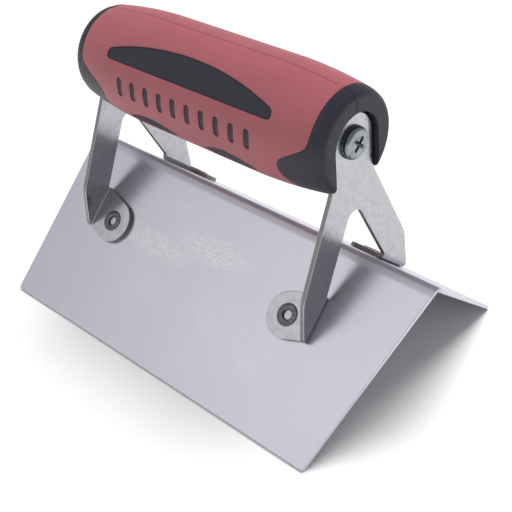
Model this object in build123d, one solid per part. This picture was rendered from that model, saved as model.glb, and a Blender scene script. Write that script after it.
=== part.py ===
from build123d import *
import math
import os

# Corner trowel: a folded stainless blade, two stamped brackets riveted to it, and a two-shot
# moulded handle screwed between them.
# Axes: +X runs along the ridge to the nose, +Y is the left leg's side, +Z is up.
# Origin: centre of the footprint, with both lower edges standing on Z = 0.
# Lengths are in millimetres and angles in degrees.

# ---- blade ----
RIDGE_LENGTH = 152.4
LEG_WIDTH = 65.0
FOLD_ANGLE = 95.0
SHEET = 1.2
FOLD_INNER_RADIUS = 0.8
NOSE_RAKE = 12.2
CORNER_RADIUS = 0.8

# ---- handle ----
HANDLE_LENGTH = 107.6
HANDLE_RADIUS = 18.2
HANDLE_TAPER = 2.8
HANDLE_STRAIGHT = 48.0
HANDLE_END_ROUND = 2.2
HANDLE_ABOVE_RIDGE = 37.0
HANDLE_SETBACK = 6.0
SKIN = 2.0
INLAY_RECESS = 0.3

# ---- skin border at each end, from the end face and from the handle's axis ----
BORDER_FROM_END = 4.6
LOBE_FROM_END = 15.0
LOBE_DROP = 4.2
LOBE_RADIUS = 3.0
BORDER_SHOULDER = 2.6
UNDERSIDE_FROM_END = 9.0
BORDER_ROUND = 4.0
SHOULDER_BEND_ROUND = 2.5
LOBE_TOP_ROUND = 2.2
LOBE_BOTTOM_ROUND = 3.5

# ---- inlays on each side of the skin ----
LEAF_LENGTH = 71.0
LEAF_HEIGHT = 9.3
LEAF_SHOULDER = 3.6
LEAF_CORNER = 1.6
LEAF_ANGLE = 48.0
BAR_COUNT = 10
BAR_PITCH = 6.2
BAR_WIDTH = 2.2
BAR_HEIGHT = 6.4
BAR_ANGLE = 87.0
BAR_END_FLAT = 0.1
STRAKE_LENGTH = 21.5
STRAKE_HEIGHT = 7.6
STRAKE_OFFSET = 17.2
STRAKE_ANGLE = 125.0

# ---- brackets ----
PLATE = 1.6
TONGUE_HALF_WIDTH = 8.7
TONGUE_DROP = 11.5
KNEE_HALF_WIDTH = 24.0
KNEE_ABOVE_RIDGE = -6.5
GAP_TOP_ABOVE_RIDGE = 18.2
SHOULDER_ROUND = 10.0
KNEE_ROUND = 9.0
GAP_ROUND = 3.5
BEND_INNER_RADIUS = 0.4
FOOT_TOP = 16.9
FOOT_BOTTOM = 32.2

# ---- rivets ----
RIVET_REACH = 10.2
RIVET_DOWN_LEG = 27.0
TAB_RADIUS = 7.6
RIVET_SHANK_RADIUS = 2.2
RIVET_RING_RADIUS = 3.65
RIVET_RING_HEIGHT = 0.35
RIVET_HOLE_RADIUS = 1.6
RIVET_HOLE_DEPTH = 1.2
RIVET_SINK_RADIUS = 3.4
RIVET_SINK_DEPTH = 0.9
RIVET_CLEARANCE = 0.05

# ---- handle screws ----
SCREW_RADIUS = 2.4
SCREW_LENGTH = 26.0
SCREW_HEAD_RADIUS = 5.1
SCREW_HEAD_HEIGHT = 2.4
SCREW_HEAD_ROUND = 1.3
SCREW_CLEARANCE = 0.3
THREAD_CLEARANCE = 0.05
BORE_EXTRA_DEPTH = 3.0
CROSS_LENGTH = 5.4
CROSS_WIDTH = 1.1
CROSS_DEPTH = 1.8
CROSS_TAPER = 10.0

# ---- handle end recess ----
RECESS_CLEARANCE = 0.7
RECESS_DEPTH = 3.4

# ---- worked out from the sizes above ----
HALF_FOLD = math.radians(FOLD_ANGLE / 2)
RIDGE_Z = LEG_WIDTH * math.cos(HALF_FOLD) + SHEET * math.sin(HALF_FOLD)
NOSE_X = RIDGE_LENGTH / 2
HANDLE_X = -HANDLE_SETBACK
AXIS_Z = RIDGE_Z + HANDLE_ABOVE_RIDGE
HANDLE_HALF = HANDLE_LENGTH / 2
TONGUE_INNER = HANDLE_HALF - RECESS_DEPTH
TONGUE_OUTER = TONGUE_INNER + PLATE
BEND_OUTER_RADIUS = BEND_INNER_RADIUS + PLATE
FAR = 4 * HANDLE_RADIUS
# Two places this close count as one.
SAME = 1e-3

# The left leg's outer face: local X along the ridge, local Y down the leg, local Z outwards.
LEFT_LEG = Plane(
    origin=(0, 0, RIDGE_Z),
    x_dir=(1, 0, 0),
    z_dir=(0, math.cos(HALF_FOLD), math.sin(HALF_FOLD)),
)
# A frame on the handle's axis, at its middle.
GRIP = Pos(HANDLE_X, 0, AXIS_Z)


def to_right(shape):
    """The same piece on the other side of the ridge."""
    return mirror(shape, about=Plane.XZ)


def to_rear(shape):
    """The same piece at the other end of the handle."""
    return mirror(shape, about=Plane.YZ.offset(HANDLE_X))


def corners(sketch, *places):
    """The sketch's vertices nearest to the places, which are given in the sketch's own plane."""
    return [sketch.vertices().sort_by_distance((*place, 0))[0] for place in places]


def on_leg(down, out):
    """Y and Z of a point on the left leg, so far down from the ridge and out from its face."""
    point = LEFT_LEG.from_local_coords(Vector(0, down, out))
    return point.Y, point.Z


# ---- blade ----
def ridge_edges(blade):
    """The edges that run along the ridge in the middle, from the lowest to the highest."""
    along = blade.edges().filter_by(Axis.X)
    return along.filter_by(lambda edge: abs(edge.center().Y) < SAME).sort_by(Axis.Z)


def make_blade():
    """One sheet folded along the ridge, with a raked nose and countersunk rivet holes."""
    outer = on_leg(LEG_WIDTH, 0)
    inner = on_leg(LEG_WIDTH, -SHEET)
    inner_ridge = (0, RIDGE_Z - SHEET / math.sin(HALF_FOLD))
    section = Plane.YZ * Polygon(
        (-outer[0], outer[1]),
        (0, RIDGE_Z),
        outer,
        inner,
        inner_ridge,
        (-inner[0], inner[1]),
        align=None,
    )
    blade = extrude(section, amount=RIDGE_LENGTH / 2, both=True)
    blade = fillet(ridge_edges(blade)[-1], FOLD_INNER_RADIUS + SHEET)
    blade = fillet(ridge_edges(blade)[0], FOLD_INNER_RADIUS)

    past_tip = 2
    rake = Polygon(
        (NOSE_X, 0),
        (NOSE_X - past_tip * NOSE_RAKE, past_tip * LEG_WIDTH),
        (NOSE_X + NOSE_RAKE, past_tip * LEG_WIDTH),
        (NOSE_X + NOSE_RAKE, 0),
        align=None,
    )
    rake_cut = LEFT_LEG * extrude(rake, amount=2 * SHEET, both=True)
    blade = blade - rake_cut - to_right(rake_cut)

    lower_corners = [
        edge
        for edge in blade.edges()
        if abs(edge.length - SHEET) < SAME and edge.center().Z < RIDGE_Z / 4
    ]
    blade = fillet(lower_corners, CORNER_RADIUS)

    hole = make_rivet_hole()
    holes = hole + to_rear(hole)
    return blade - holes - to_right(holes)


def rivet_place():
    """The front left rivet's frame: on the blade's outer face, with Z pointing out of the tab."""
    return LEFT_LEG * Pos(HANDLE_X + TONGUE_OUTER - RIVET_REACH, RIVET_DOWN_LEG, 0)


def make_rivet_hole():
    """The hole through blade and tab for the front left rivet."""
    bore = RIVET_SHANK_RADIUS + RIVET_CLEARANCE
    through = Cylinder(bore, 4 * (SHEET + PLATE))
    sink = Pos(0, 0, -SHEET) * Cone(
        RIVET_SINK_RADIUS + RIVET_CLEARANCE,
        bore,
        RIVET_SINK_DEPTH,
        align=(Align.CENTER, Align.CENTER, Align.MIN),
    )
    return rivet_place() * (through + sink)


# ---- rivets ----
def make_rivet():
    """The front left rivet: flush countersunk head inside, hollow shank rolled over the tab."""
    top = PLATE
    ring_middle = (RIVET_RING_RADIUS + RIVET_HOLE_RADIUS) / 2
    outline = [
        Line((0, -SHEET), (RIVET_SINK_RADIUS, -SHEET)),
        Line((RIVET_SINK_RADIUS, -SHEET), (RIVET_SHANK_RADIUS, -SHEET + RIVET_SINK_DEPTH)),
        Line((RIVET_SHANK_RADIUS, -SHEET + RIVET_SINK_DEPTH), (RIVET_SHANK_RADIUS, top)),
        Line((RIVET_SHANK_RADIUS, top), (RIVET_RING_RADIUS, top)),
        ThreePointArc(
            (RIVET_RING_RADIUS, top),
            (ring_middle, top + RIVET_RING_HEIGHT),
            (RIVET_HOLE_RADIUS, top),
        ),
        Line((RIVET_HOLE_RADIUS, top), (RIVET_HOLE_RADIUS, top + RIVET_RING_HEIGHT - RIVET_HOLE_DEPTH)),
        Line(
            (RIVET_HOLE_RADIUS, top + RIVET_RING_HEIGHT - RIVET_HOLE_DEPTH),
            (0, top + RIVET_RING_HEIGHT - RIVET_HOLE_DEPTH),
        ),
        Line((0, top + RIVET_RING_HEIGHT - RIVET_HOLE_DEPTH), (0, -SHEET)),
    ]
    profile = Plane.XZ * make_face(outline)
    return rivet_place() * revolve(profile, axis=Axis.Z)


# ---- brackets ----
def bracket_outline():
    """The bracket's flat plate, drawn in Y and Z: tongue, two splayed legs and the gap between."""
    shoulder_z = AXIS_Z - TONGUE_DROP
    knee = (KNEE_HALF_WIDTH, RIDGE_Z + KNEE_ABOVE_RIDGE)
    foot_outer = on_leg(FOOT_BOTTOM, BEND_OUTER_RADIUS)
    foot_inner = on_leg(FOOT_TOP, BEND_OUTER_RADIUS)
    gap_top = (0, RIDGE_Z + GAP_TOP_ABOVE_RIDGE)
    half = [
        (TONGUE_HALF_WIDTH, AXIS_Z),
        (TONGUE_HALF_WIDTH, shoulder_z),
        knee,
        foot_outer,
        foot_inner,
        gap_top,
    ]
    other = [(-y, z) for y, z in reversed(half[:-1])]
    top = ThreePointArc(other[-1], (0, AXIS_Z + TONGUE_HALF_WIDTH), half[0])
    outline = make_face([Polyline(*half, *other), top])
    for place, radius in (
        ((TONGUE_HALF_WIDTH, shoulder_z), SHOULDER_ROUND),
        (knee, KNEE_ROUND),
    ):
        pair = corners(outline, place, (-place[0], place[1]))
        outline = fillet(pair, radius)
    return fillet(corners(outline, gap_top), GAP_ROUND)


def make_tab():
    """The front left foot: the rounded bend and the tab that lies on the left leg."""
    heel_x = TONGUE_OUTER - BEND_OUTER_RADIUS
    centre = (TONGUE_OUTER - RIVET_REACH, RIVET_DOWN_LEG)
    round_end = Pos(*centre) * Circle(TAB_RADIUS)
    spread = math.hypot(heel_x - centre[0], centre[1] - FOOT_TOP)
    rise = math.atan2(centre[1] - FOOT_TOP, heel_x - centre[0])
    upper = math.acos(TAB_RADIUS / spread) + rise
    spread_low = math.hypot(heel_x - centre[0], FOOT_BOTTOM - centre[1])
    drop = math.atan2(FOOT_BOTTOM - centre[1], heel_x - centre[0])
    web = [(heel_x, FOOT_TOP), (heel_x, FOOT_BOTTOM)]
    if spread_low > TAB_RADIUS:
        lower = math.acos(TAB_RADIUS / spread_low) + drop
    else:
        lower = math.pi / 2
    web.append((centre[0] + TAB_RADIUS * math.cos(lower), centre[1] + TAB_RADIUS * math.sin(lower)))
    web.append(centre)
    web.append((centre[0] + TAB_RADIUS * math.cos(upper), centre[1] - TAB_RADIUS * math.sin(upper)))
    flat = round_end + make_face(Polyline(*web, close=True))
    tab = extrude(flat, amount=PLATE)
    bend_section = Plane.XZ * (
        Pos(heel_x, BEND_OUTER_RADIUS)
        * (Circle(BEND_OUTER_RADIUS) - Circle(BEND_INNER_RADIUS))
        & Pos(heel_x, 0)
        * Rectangle(BEND_OUTER_RADIUS, BEND_OUTER_RADIUS, align=(Align.MIN, Align.MIN))
    )
    bend = Pos(0, FOOT_BOTTOM, 0) * extrude(bend_section, amount=FOOT_BOTTOM - FOOT_TOP)
    return LEFT_LEG * Pos(HANDLE_X, 0, 0) * (tab + bend)


def make_bracket():
    """The front bracket: a flat wishbone plate with a tongue above and two bent feet below."""
    plane = Plane(origin=(HANDLE_X + TONGUE_INNER, 0, 0), x_dir=(0, 1, 0), z_dir=(1, 0, 0))
    plate = extrude(plane * bracket_outline(), amount=PLATE)
    foot = make_tab()
    bracket = plate + foot + to_right(foot)
    screw_hole = Pos(HANDLE_X + TONGUE_OUTER, 0, AXIS_Z) * Rot(0, 90, 0) * Cylinder(
        SCREW_RADIUS + SCREW_CLEARANCE, 4 * PLATE
    )
    hole = make_rivet_hole()
    return bracket - screw_hole - hole - to_right(hole)


# ---- handle screws ----
def make_screw():
    """The front handle screw: pan head with a cross recess, drawn pointing out of the handle."""
    head = Cylinder(SCREW_HEAD_RADIUS, SCREW_HEAD_HEIGHT, align=(Align.CENTER, Align.CENTER, Align.MIN))
    head = fillet(head.edges().sort_by(Axis.Z)[-1], SCREW_HEAD_ROUND)
    shank = Pos(0, 0, -SCREW_LENGTH) * Cylinder(
        SCREW_RADIUS, SCREW_LENGTH, align=(Align.CENTER, Align.CENTER, Align.MIN)
    )
    shank = chamfer(shank.edges().sort_by(Axis.Z)[0], SCREW_RADIUS / 2)
    cross = Rectangle(CROSS_LENGTH, CROSS_WIDTH) + Rectangle(CROSS_WIDTH, CROSS_LENGTH)
    recess = extrude(
        Plane.XY.offset(SCREW_HEAD_HEIGHT) * cross, amount=-CROSS_DEPTH, taper=CROSS_TAPER
    )
    screw = head + shank - recess
    return Pos(HANDLE_X + TONGUE_OUTER, 0, AXIS_Z) * Rot(0, 90, 0) * screw


# ---- handle ----
def barrel(inset):
    """The handle's barrel shape, so far inside its outer surface, about the X axis."""
    straight = HANDLE_STRAIGHT / 2
    run = HANDLE_HALF - straight
    sweep_radius = (run**2 + HANDLE_TAPER**2) / (2 * HANDLE_TAPER)
    half_way = straight + run / 2
    dip = sweep_radius - math.sqrt(sweep_radius**2 - (run / 2) ** 2)
    crown = HANDLE_RADIUS - inset
    end = crown - HANDLE_TAPER
    outline = [
        Line((-HANDLE_HALF, 0), (-HANDLE_HALF, end)),
        ThreePointArc((-HANDLE_HALF, end), (-half_way, crown - dip), (-straight, crown)),
        Line((-straight, crown), (straight, crown)),
        ThreePointArc((straight, crown), (half_way, crown - dip), (HANDLE_HALF, end)),
        Line((HANDLE_HALF, end), (HANDLE_HALF, 0)),
        Line((HANDLE_HALF, 0), (-HANDLE_HALF, 0)),
    ]
    return revolve(Plane.XZ * make_face(outline), axis=Axis.X)


def skin_zone():
    """Everything between the two skin borders, as a side outline carried across the handle."""
    border = HANDLE_HALF - BORDER_FROM_END
    lobe = HANDLE_HALF - LOBE_FROM_END
    under = HANDLE_HALF - UNDERSIDE_FROM_END
    half = [
        (border, FAR),
        (border, BORDER_SHOULDER),
        (lobe + LOBE_RADIUS, BORDER_SHOULDER - LOBE_RADIUS),
        (lobe, -LOBE_DROP + LOBE_RADIUS),
        (lobe, -LOBE_DROP - LOBE_RADIUS),
        (under, -HANDLE_RADIUS),
        (under, -FAR),
    ]
    other = [(-x, z) for x, z in reversed(half)]
    zone = make_face(Polyline(*half, *other, close=True))
    rounds = (BORDER_ROUND, SHOULDER_BEND_ROUND, LOBE_TOP_ROUND, LOBE_BOTTOM_ROUND)
    for (x, z), radius in zip(half[1:5], rounds):
        zone = fillet(corners(zone, (x, z), (-x, z)), radius)
    return extrude(Plane.XZ * zone, amount=FAR, both=True)


def leaf():
    """The long inlay: straight below, arched above, with rounded ends."""
    half = LEAF_LENGTH / 2
    low = -LEAF_HEIGHT / 2
    shoulder = low + LEAF_SHOULDER
    outline = make_face(
        [
            Polyline((-half, shoulder), (-half, low), (half, low), (half, shoulder)),
            ThreePointArc((half, shoulder), (0, LEAF_HEIGHT / 2), (-half, shoulder)),
        ]
    )
    ends = [(-half, shoulder), (-half, low), (half, low), (half, shoulder)]
    return fillet(corners(outline, *ends), LEAF_CORNER)


def bar_row():
    """A plain row of short rounded bars."""
    bar = RectangleRounded(BAR_WIDTH, BAR_HEIGHT, (BAR_WIDTH - BAR_END_FLAT) / 2)
    return Sketch() + [place * bar for place in GridLocations(BAR_PITCH, 0, BAR_COUNT, 1)]


def strakes():
    """Two slim inlays low on the side, pointed at their ends."""
    half = STRAKE_LENGTH / 2
    rise = STRAKE_HEIGHT / 2
    strake = make_face(
        [
            ThreePointArc((-half, 0), (0, rise), (half, 0)),
            ThreePointArc((half, 0), (0, -rise), (-half, 0)),
        ]
    )
    return Sketch() + [Pos(side * STRAKE_OFFSET, 0) * strake for side in (-1, 1)]


def inlay_prisms():
    """The inlays' outlines carried outwards through the skin, on both sides of the handle."""
    prisms = []
    for outline, angle in ((leaf(), LEAF_ANGLE), (bar_row(), BAR_ANGLE), (strakes(), STRAKE_ANGLE)):
        tilt = math.radians(angle)
        outward = (0, -math.sin(tilt), math.cos(tilt))
        start = HANDLE_RADIUS / 2
        plane = Plane(
            origin=(0, outward[1] * start, outward[2] * start), x_dir=(1, 0, 0), z_dir=outward
        )
        prism = extrude(plane * outline, amount=HANDLE_RADIUS)
        prisms += [prism, to_right(prism)]
    return Part() + prisms


def end_recess():
    """The open-bottomed recess in the front end face that holds the bracket's tongue."""
    half = TONGUE_HALF_WIDTH + RECESS_CLEARANCE
    seat = Plane(origin=(TONGUE_INNER, 0, 0), x_dir=(0, 1, 0), z_dir=(1, 0, 0))
    outline = Circle(half) + Rectangle(2 * half, FAR, align=(Align.CENTER, Align.MAX))
    return extrude(seat * outline, amount=FAR)


def make_handle():
    """The hard core with its end caps and inlays, and the soft skin moulded round it."""
    body = barrel(0)
    rims = [edge for edge in body.edges().filter_by(GeomType.CIRCLE) if edge.radius < HANDLE_RADIUS - 1]
    body = fillet(rims, HANDLE_END_ROUND)
    prisms = inlay_prisms()
    skin_blank = (body & skin_zone()) - barrel(SKIN)
    pads = prisms & barrel(INLAY_RECESS)
    skin = skin_blank - prisms
    core = body - skin_blank + pads

    recess = end_recess()
    bore_depth = SCREW_LENGTH + BORE_EXTRA_DEPTH
    bore = Pos(TONGUE_INNER - bore_depth / 2, 0, 0) * Rot(0, 90, 0) * Cylinder(
        SCREW_RADIUS + THREAD_CLEARANCE, bore_depth
    )
    for cut in (recess, bore):
        core = core - cut - mirror(cut, about=Plane.YZ)
    return GRIP * core, GRIP * skin


def main():
    os.makedirs("parts", exist_ok=True)
    bracket = make_bracket()
    screw = make_screw()
    rivet = make_rivet()
    core, skin = make_handle()
    pieces = {
        "blade": make_blade(),
        "front_bracket": bracket,
        "rear_bracket": to_rear(bracket),
        "front_left_rivet": rivet,
        "front_right_rivet": to_right(rivet),
        "rear_left_rivet": to_rear(rivet),
        "rear_right_rivet": to_right(to_rear(rivet)),
        "front_screw": screw,
        "rear_screw": to_rear(screw),
        "handle_core": core,
        "grip_skin": skin,
    }
    for name, piece in pieces.items():
        piece.label = name
        export_step(piece, f"parts/{name}.step")


main()
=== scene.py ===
"""Corner trowel: detailed pieces, finishes, lights and camera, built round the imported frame.

All lengths are in metres. +X runs along the ridge to the nose, +Y is the left leg's side, +Z is up.
"""

from __future__ import annotations

import logging
import math
from collections.abc import Callable, Sequence
from dataclasses import dataclass, field
from enum import Enum
from functools import partial

import bmesh
import bpy
import numpy as np
from bpy.types import ID, Material, Mesh, Node, NodeSocket, NodeTree, Object
from mathutils import Matrix, Vector
from mathutils.geometry import delaunay_2d_cdt

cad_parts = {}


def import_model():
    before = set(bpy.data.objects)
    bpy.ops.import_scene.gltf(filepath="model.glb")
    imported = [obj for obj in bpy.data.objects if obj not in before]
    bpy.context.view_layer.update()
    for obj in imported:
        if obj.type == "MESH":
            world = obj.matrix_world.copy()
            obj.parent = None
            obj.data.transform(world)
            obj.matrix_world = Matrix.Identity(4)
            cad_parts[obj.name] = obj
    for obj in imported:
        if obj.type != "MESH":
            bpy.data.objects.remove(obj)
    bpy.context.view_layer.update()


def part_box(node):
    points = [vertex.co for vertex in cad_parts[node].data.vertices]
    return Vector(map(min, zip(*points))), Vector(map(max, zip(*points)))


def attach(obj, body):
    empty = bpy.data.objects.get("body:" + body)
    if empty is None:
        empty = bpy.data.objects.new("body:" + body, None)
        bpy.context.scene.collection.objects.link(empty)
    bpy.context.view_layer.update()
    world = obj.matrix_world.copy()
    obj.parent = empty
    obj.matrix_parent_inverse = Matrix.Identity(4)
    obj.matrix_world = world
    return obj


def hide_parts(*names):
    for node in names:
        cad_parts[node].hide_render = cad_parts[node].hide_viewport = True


MM = 0.001
BODY = "root"
# Points nearer to each other than this are one point.
WELD = 2e-6
# The triangulator works best on numbers of about this many to the metre.
FILL_SCALE = 1000.0
FILL_TOLERANCE = 1e-5
# Steps in a quarter turn of a rounded rim, and of a band's corner.
RIM_STEPS = 3
BAND_CORNER_STEPS = 5
# The attribute that tells a finish where an edge is sheared (its darker colour partly painted shade), where
# a floor is bare, and where a screw head's wall gets painted shade.
MARK = "mark"
# How many points are tested at once, which keeps the arrays small.
TEST_BATCH = 4096
SPREAD_BATCH = 1024
# Faces that meet at more than this angle keep a crisp edge between them.
CRISP = math.radians(40)

log = logging.getLogger("corner_trowel")
Form = Callable[[np.ndarray, np.ndarray], np.ndarray]
Curve = Callable[[np.ndarray], np.ndarray]
Pair = tuple[float, float]
Triple = tuple[float, float, float]


class End(Enum):
    """Which end of the handle a piece belongs to; the value is its direction along X."""

    FRONT = 1
    REAR = -1


class Side(Enum):
    """Which side of the ridge a piece belongs to; the value is its direction along Y."""

    LEFT = 1
    RIGHT = -1


class Slot(Enum):
    """Names of the finishes' material slots."""

    STAINLESS = "stainless_sheet"
    ZINC_PLATE = "zinc_plate"
    RIVET = "dark_rivet"
    SCREW = "zinc_screw"
    CORE = "charcoal_core"
    SKIN = "red_skin"


# ---- flat outlines ----
def rounded_loop(corners: Sequence[Triple], step: float = math.radians(9)) -> np.ndarray:
    """Draws a closed outline whose corners are rounded by tangent arcs.

    Args:
        corners: each corner as (x, y, radius), in order; the material lies on the left.
        step: the largest turn between two points of an arc, in radians.

    Returns:
        The outline's points, one row each.
    """
    rows = []
    for index, (x, y, radius) in enumerate(corners):
        here = np.array((x, y))
        if radius <= 0:
            rows.append(here[None])
            continue
        back = np.array(corners[index - 1][:2]) - here
        ahead = np.array(corners[(index + 1) % len(corners)][:2]) - here
        back /= np.linalg.norm(back)
        ahead /= np.linalg.norm(ahead)
        half = math.acos(float(np.clip(back @ ahead, -1, 1))) / 2
        bisector = (back + ahead) / np.linalg.norm(back + ahead)
        centre = here + bisector * radius / math.sin(half)
        spoke = here + back * radius / math.tan(half) - centre
        turn = math.pi - 2 * half
        way = math.copysign(1, ahead[1] * back[0] - ahead[0] * back[1]) * -1
        angles = np.linspace(0, turn, max(2, math.ceil(turn / step)) + 1) * way
        cos, sin = np.cos(angles), np.sin(angles)
        turned = (spoke[0] * cos - spoke[1] * sin, spoke[0] * sin + spoke[1] * cos)
        rows.append(centre + np.stack(turned, 1))
    return np.vstack(rows)


def circle_loop(x: float, y: float, radius: float, steps: int, clockwise: bool = True) -> np.ndarray:
    """Draws a circle, clockwise for a hole so that the material lies on its left.

    Args:
        x: the centre's first coordinate.
        y: the centre's second coordinate.
        radius: the circle's radius.
        steps: how many points it has.
        clockwise: whether it runs clockwise.

    Returns:
        The circle's points.
    """
    angles = np.arange(steps) / steps * math.tau * (-1 if clockwise else 1)
    return np.stack((x + radius * np.cos(angles), y + radius * np.sin(angles)), 1)


def band_loop(half: float, corner: float, top: Curve, bottom: Curve, spacing: float) -> np.ndarray:
    """Draws a closed outline between two curves, with rounded ends, running clockwise.

    Args:
        half: half of the outline's length.
        corner: the radius of the rounding at each end, above and below.
        top: the upper curve, as a function of the distance from the middle.
        bottom: the lower curve, in the same way.
        spacing: the distance between points along the curves.

    Returns:
        The outline's points.
    """
    straight = half - corner
    middle = np.linspace(-straight, straight, max(3, round(2 * straight / spacing)) + 1)
    turn = np.linspace(0, math.pi / 2, BAND_CORNER_STEPS + 1)[1:]
    out = straight + corner * np.sin(turn)
    fall = corner * (1 - np.cos(turn))
    upper = np.concatenate((-out[::-1], middle, out))
    drop = np.concatenate((fall[::-1], np.zeros_like(middle), fall))
    above = np.stack((upper, top(upper) - drop), 1)
    below = np.stack((upper, bottom(upper) + drop), 1)[::-1]
    return np.vstack((above, below[1:-1] if np.allclose(above[0], below[-1]) else below))


def shifted(line: np.ndarray, distance: float, closed: bool = True) -> np.ndarray:
    """Moves an outline sideways, to the left of its own direction.

    Args:
        line: the outline's points.
        distance: how far it moves.
        closed: whether its last point joins its first.

    Returns:
        The moved points, one for each old one.
    """
    if closed:
        before = line - np.roll(line, 1, axis=0)
        after = np.roll(line, -1, axis=0) - line
    else:
        steps = np.diff(line, axis=0)
        before = np.vstack((steps[:1], steps))
        after = np.vstack((steps, steps[-1:]))
    before = before / np.linalg.norm(before, axis=1, keepdims=True)
    after = after / np.linalg.norm(after, axis=1, keepdims=True)
    left = np.stack((-before[:, 1], before[:, 0]), 1)
    mitre = left + np.stack((-after[:, 1], after[:, 0]), 1)
    return line + distance * mitre / np.sum(mitre * left, axis=1, keepdims=True)


def with_levels(
    loop: np.ndarray, measure: Curve, levels: Sequence[float]
) -> tuple[np.ndarray, list[tuple[int, int]]]:
    """Adds a point wherever a closed outline crosses a level, so that it can bend there.

    Args:
        loop: the outline's points.
        measure: gives the height of each point, in the sense that the levels use.
        levels: the heights at which the sheet gets a crease.

    Returns:
        The new outline, and the pairs of its points that a crease joins.
    """
    rows: list[np.ndarray] = []
    found: dict[float, list[int]] = {level: [] for level in levels}
    heights = measure(loop)
    for index, here in enumerate(loop):
        rows.append(here)
        following = (index + 1) % len(loop)
        low, high = heights[index], heights[following]
        crossed = [level for level in levels if min(low, high) < level < max(low, high)]
        for level in sorted(crossed, reverse=bool(low > high)):
            found[level].append(len(rows))
            rows.append(here + (loop[following] - here) * (level - low) / (high - low))
    creases = [(pair[0], pair[1]) for pair in found.values() if len(pair) == 2]
    return np.array(rows), creases


def inside(points: np.ndarray, loops: Sequence[np.ndarray]) -> np.ndarray:
    """Tells which points lie inside an odd number of closed outlines.

    Args:
        points: the points to test.
        loops: the outlines.

    Returns:
        One true or false value for each point.
    """
    hits = np.zeros(len(points), int)
    for loop in loops:
        ends = np.roll(loop, -1, axis=0)
        for start in range(0, len(points), TEST_BATCH):
            part = points[start : start + TEST_BATCH]
            across = (loop[:, 1] > part[:, 1:]) != (ends[:, 1] > part[:, 1:])
            rise = np.where(ends[:, 1] == loop[:, 1], 1, ends[:, 1] - loop[:, 1])
            meets = loop[:, 0] + (ends[:, 0] - loop[:, 0]) * (part[:, 1:] - loop[:, 1]) / rise
            hits[start : start + TEST_BATCH] += (across & (part[:, :1] < meets)).sum(axis=1)
    return hits % 2 == 1


def filled(
    loops: Sequence[np.ndarray],
    points: np.ndarray | None = None,
    creases: Sequence[tuple[int, int]] = (),
) -> tuple[np.ndarray, np.ndarray]:
    """Fills the space between closed outlines with triangles.

    Args:
        loops: the outer outline first, then any holes.
        points: more points for the triangles to use, inside the space.
        creases: pairs of points of the first outline that an edge has to join.

    Returns:
        The points, and the triangles as rows of three indices.
    """
    edges = list(creases)
    start = 0
    for loop in loops:
        count = len(loop)
        edges += [(start + index, start + (index + 1) % count) for index in range(count)]
        start += count
    stack = np.vstack([*loops] if points is None else [*loops, points]) * FILL_SCALE
    made = delaunay_2d_cdt([Vector(row) for row in stack], edges, [], 0, FILL_TOLERANCE, False)
    places = np.array([tuple(place) for place in made[0]]) / FILL_SCALE
    triangles = np.array(made[2])
    return places, triangles[inside(places[triangles].mean(axis=1), loops)]


def grid_points(loops: Sequence[np.ndarray], across: float, along: float, room: float) -> np.ndarray:
    """Spreads points evenly inside outlines, clear of the outlines themselves.

    Args:
        loops: the outer outline first, then any holes.
        across: the spacing in the first coordinate.
        along: the spacing in the second coordinate.
        room: the least distance from a point to an outline.

    Returns:
        The points.
    """
    low, high = loops[0].min(axis=0), loops[0].max(axis=0)
    counts = [max(2, round((high[k] - low[k]) / (across, along)[k])) for k in (0, 1)]
    columns, rows = np.meshgrid(*(np.linspace(low[k], high[k], counts[k] + 1) for k in (0, 1)))
    spread = np.stack((columns.ravel(), rows.ravel()), 1)
    spread = spread[inside(spread, loops)]
    edge = np.vstack(loops)
    kept = [
        part[np.linalg.norm(part[:, None] - edge[None], axis=2).min(axis=1) > room]
        for part in np.array_split(spread, max(1, len(spread) // SPREAD_BATCH))
    ]
    return np.vstack(kept)


# ---- meshes ----
class Quilt:
    """Mesh patches gathered one by one and sewn into one closed surface."""

    def __init__(self) -> None:
        """Starts with no patches."""
        self.places: list[np.ndarray] = []
        self.faces: list[tuple[int, ...]] = []
        self.marks: list[np.ndarray] = []
        self.count = 0

    def add(
        self, places: np.ndarray, faces: Sequence[Sequence[int]], mark: np.ndarray | None = None
    ) -> None:
        """Adds a patch.

        Args:
            places: the patch's points.
            faces: the patch's faces, as indices into those points.
            mark: how much each point is marked for the finish, or None for not at all.
        """
        self.faces += [tuple(int(corner) + self.count for corner in face) for face in faces]
        self.places.append(places)
        self.marks.append(np.zeros(len(places)) if mark is None else mark)
        self.count += len(places)

    def strip(
        self, rings: Sequence[np.ndarray], closed: bool = True, marks: Sequence[float] | None = None
    ) -> None:
        """Adds the quads between rings that have equally many points.

        Args:
            rings: the rings, in order.
            closed: whether each ring's last point joins its first.
            marks: how much each ring is marked for the finish.
        """
        count = len(rings[0])
        faces = []
        for row in range(len(rings) - 1):
            for index in range(count if closed else count - 1):
                following = (index + 1) % count
                low, high = row * count, (row + 1) * count
                faces.append((low + index, low + following, high + following, high + index))
        self.add(np.vstack(rings), faces, None if marks is None else np.repeat(marks, count))

    def sew(self, name: str) -> Object:
        """Joins the patches where they meet, turns the faces outwards and smooths them.

        Args:
            name: the new object's name.

        Returns:
            The object, linked to the scene.
        """
        mesh = bpy.data.meshes.new(name)
        mesh.from_pydata(np.vstack(self.places).tolist(), [], self.faces)
        mesh.attributes.new(MARK, "FLOAT", "POINT").data.foreach_set("value", np.concatenate(self.marks))
        tidy(mesh)
        return linked(name, mesh)


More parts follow.
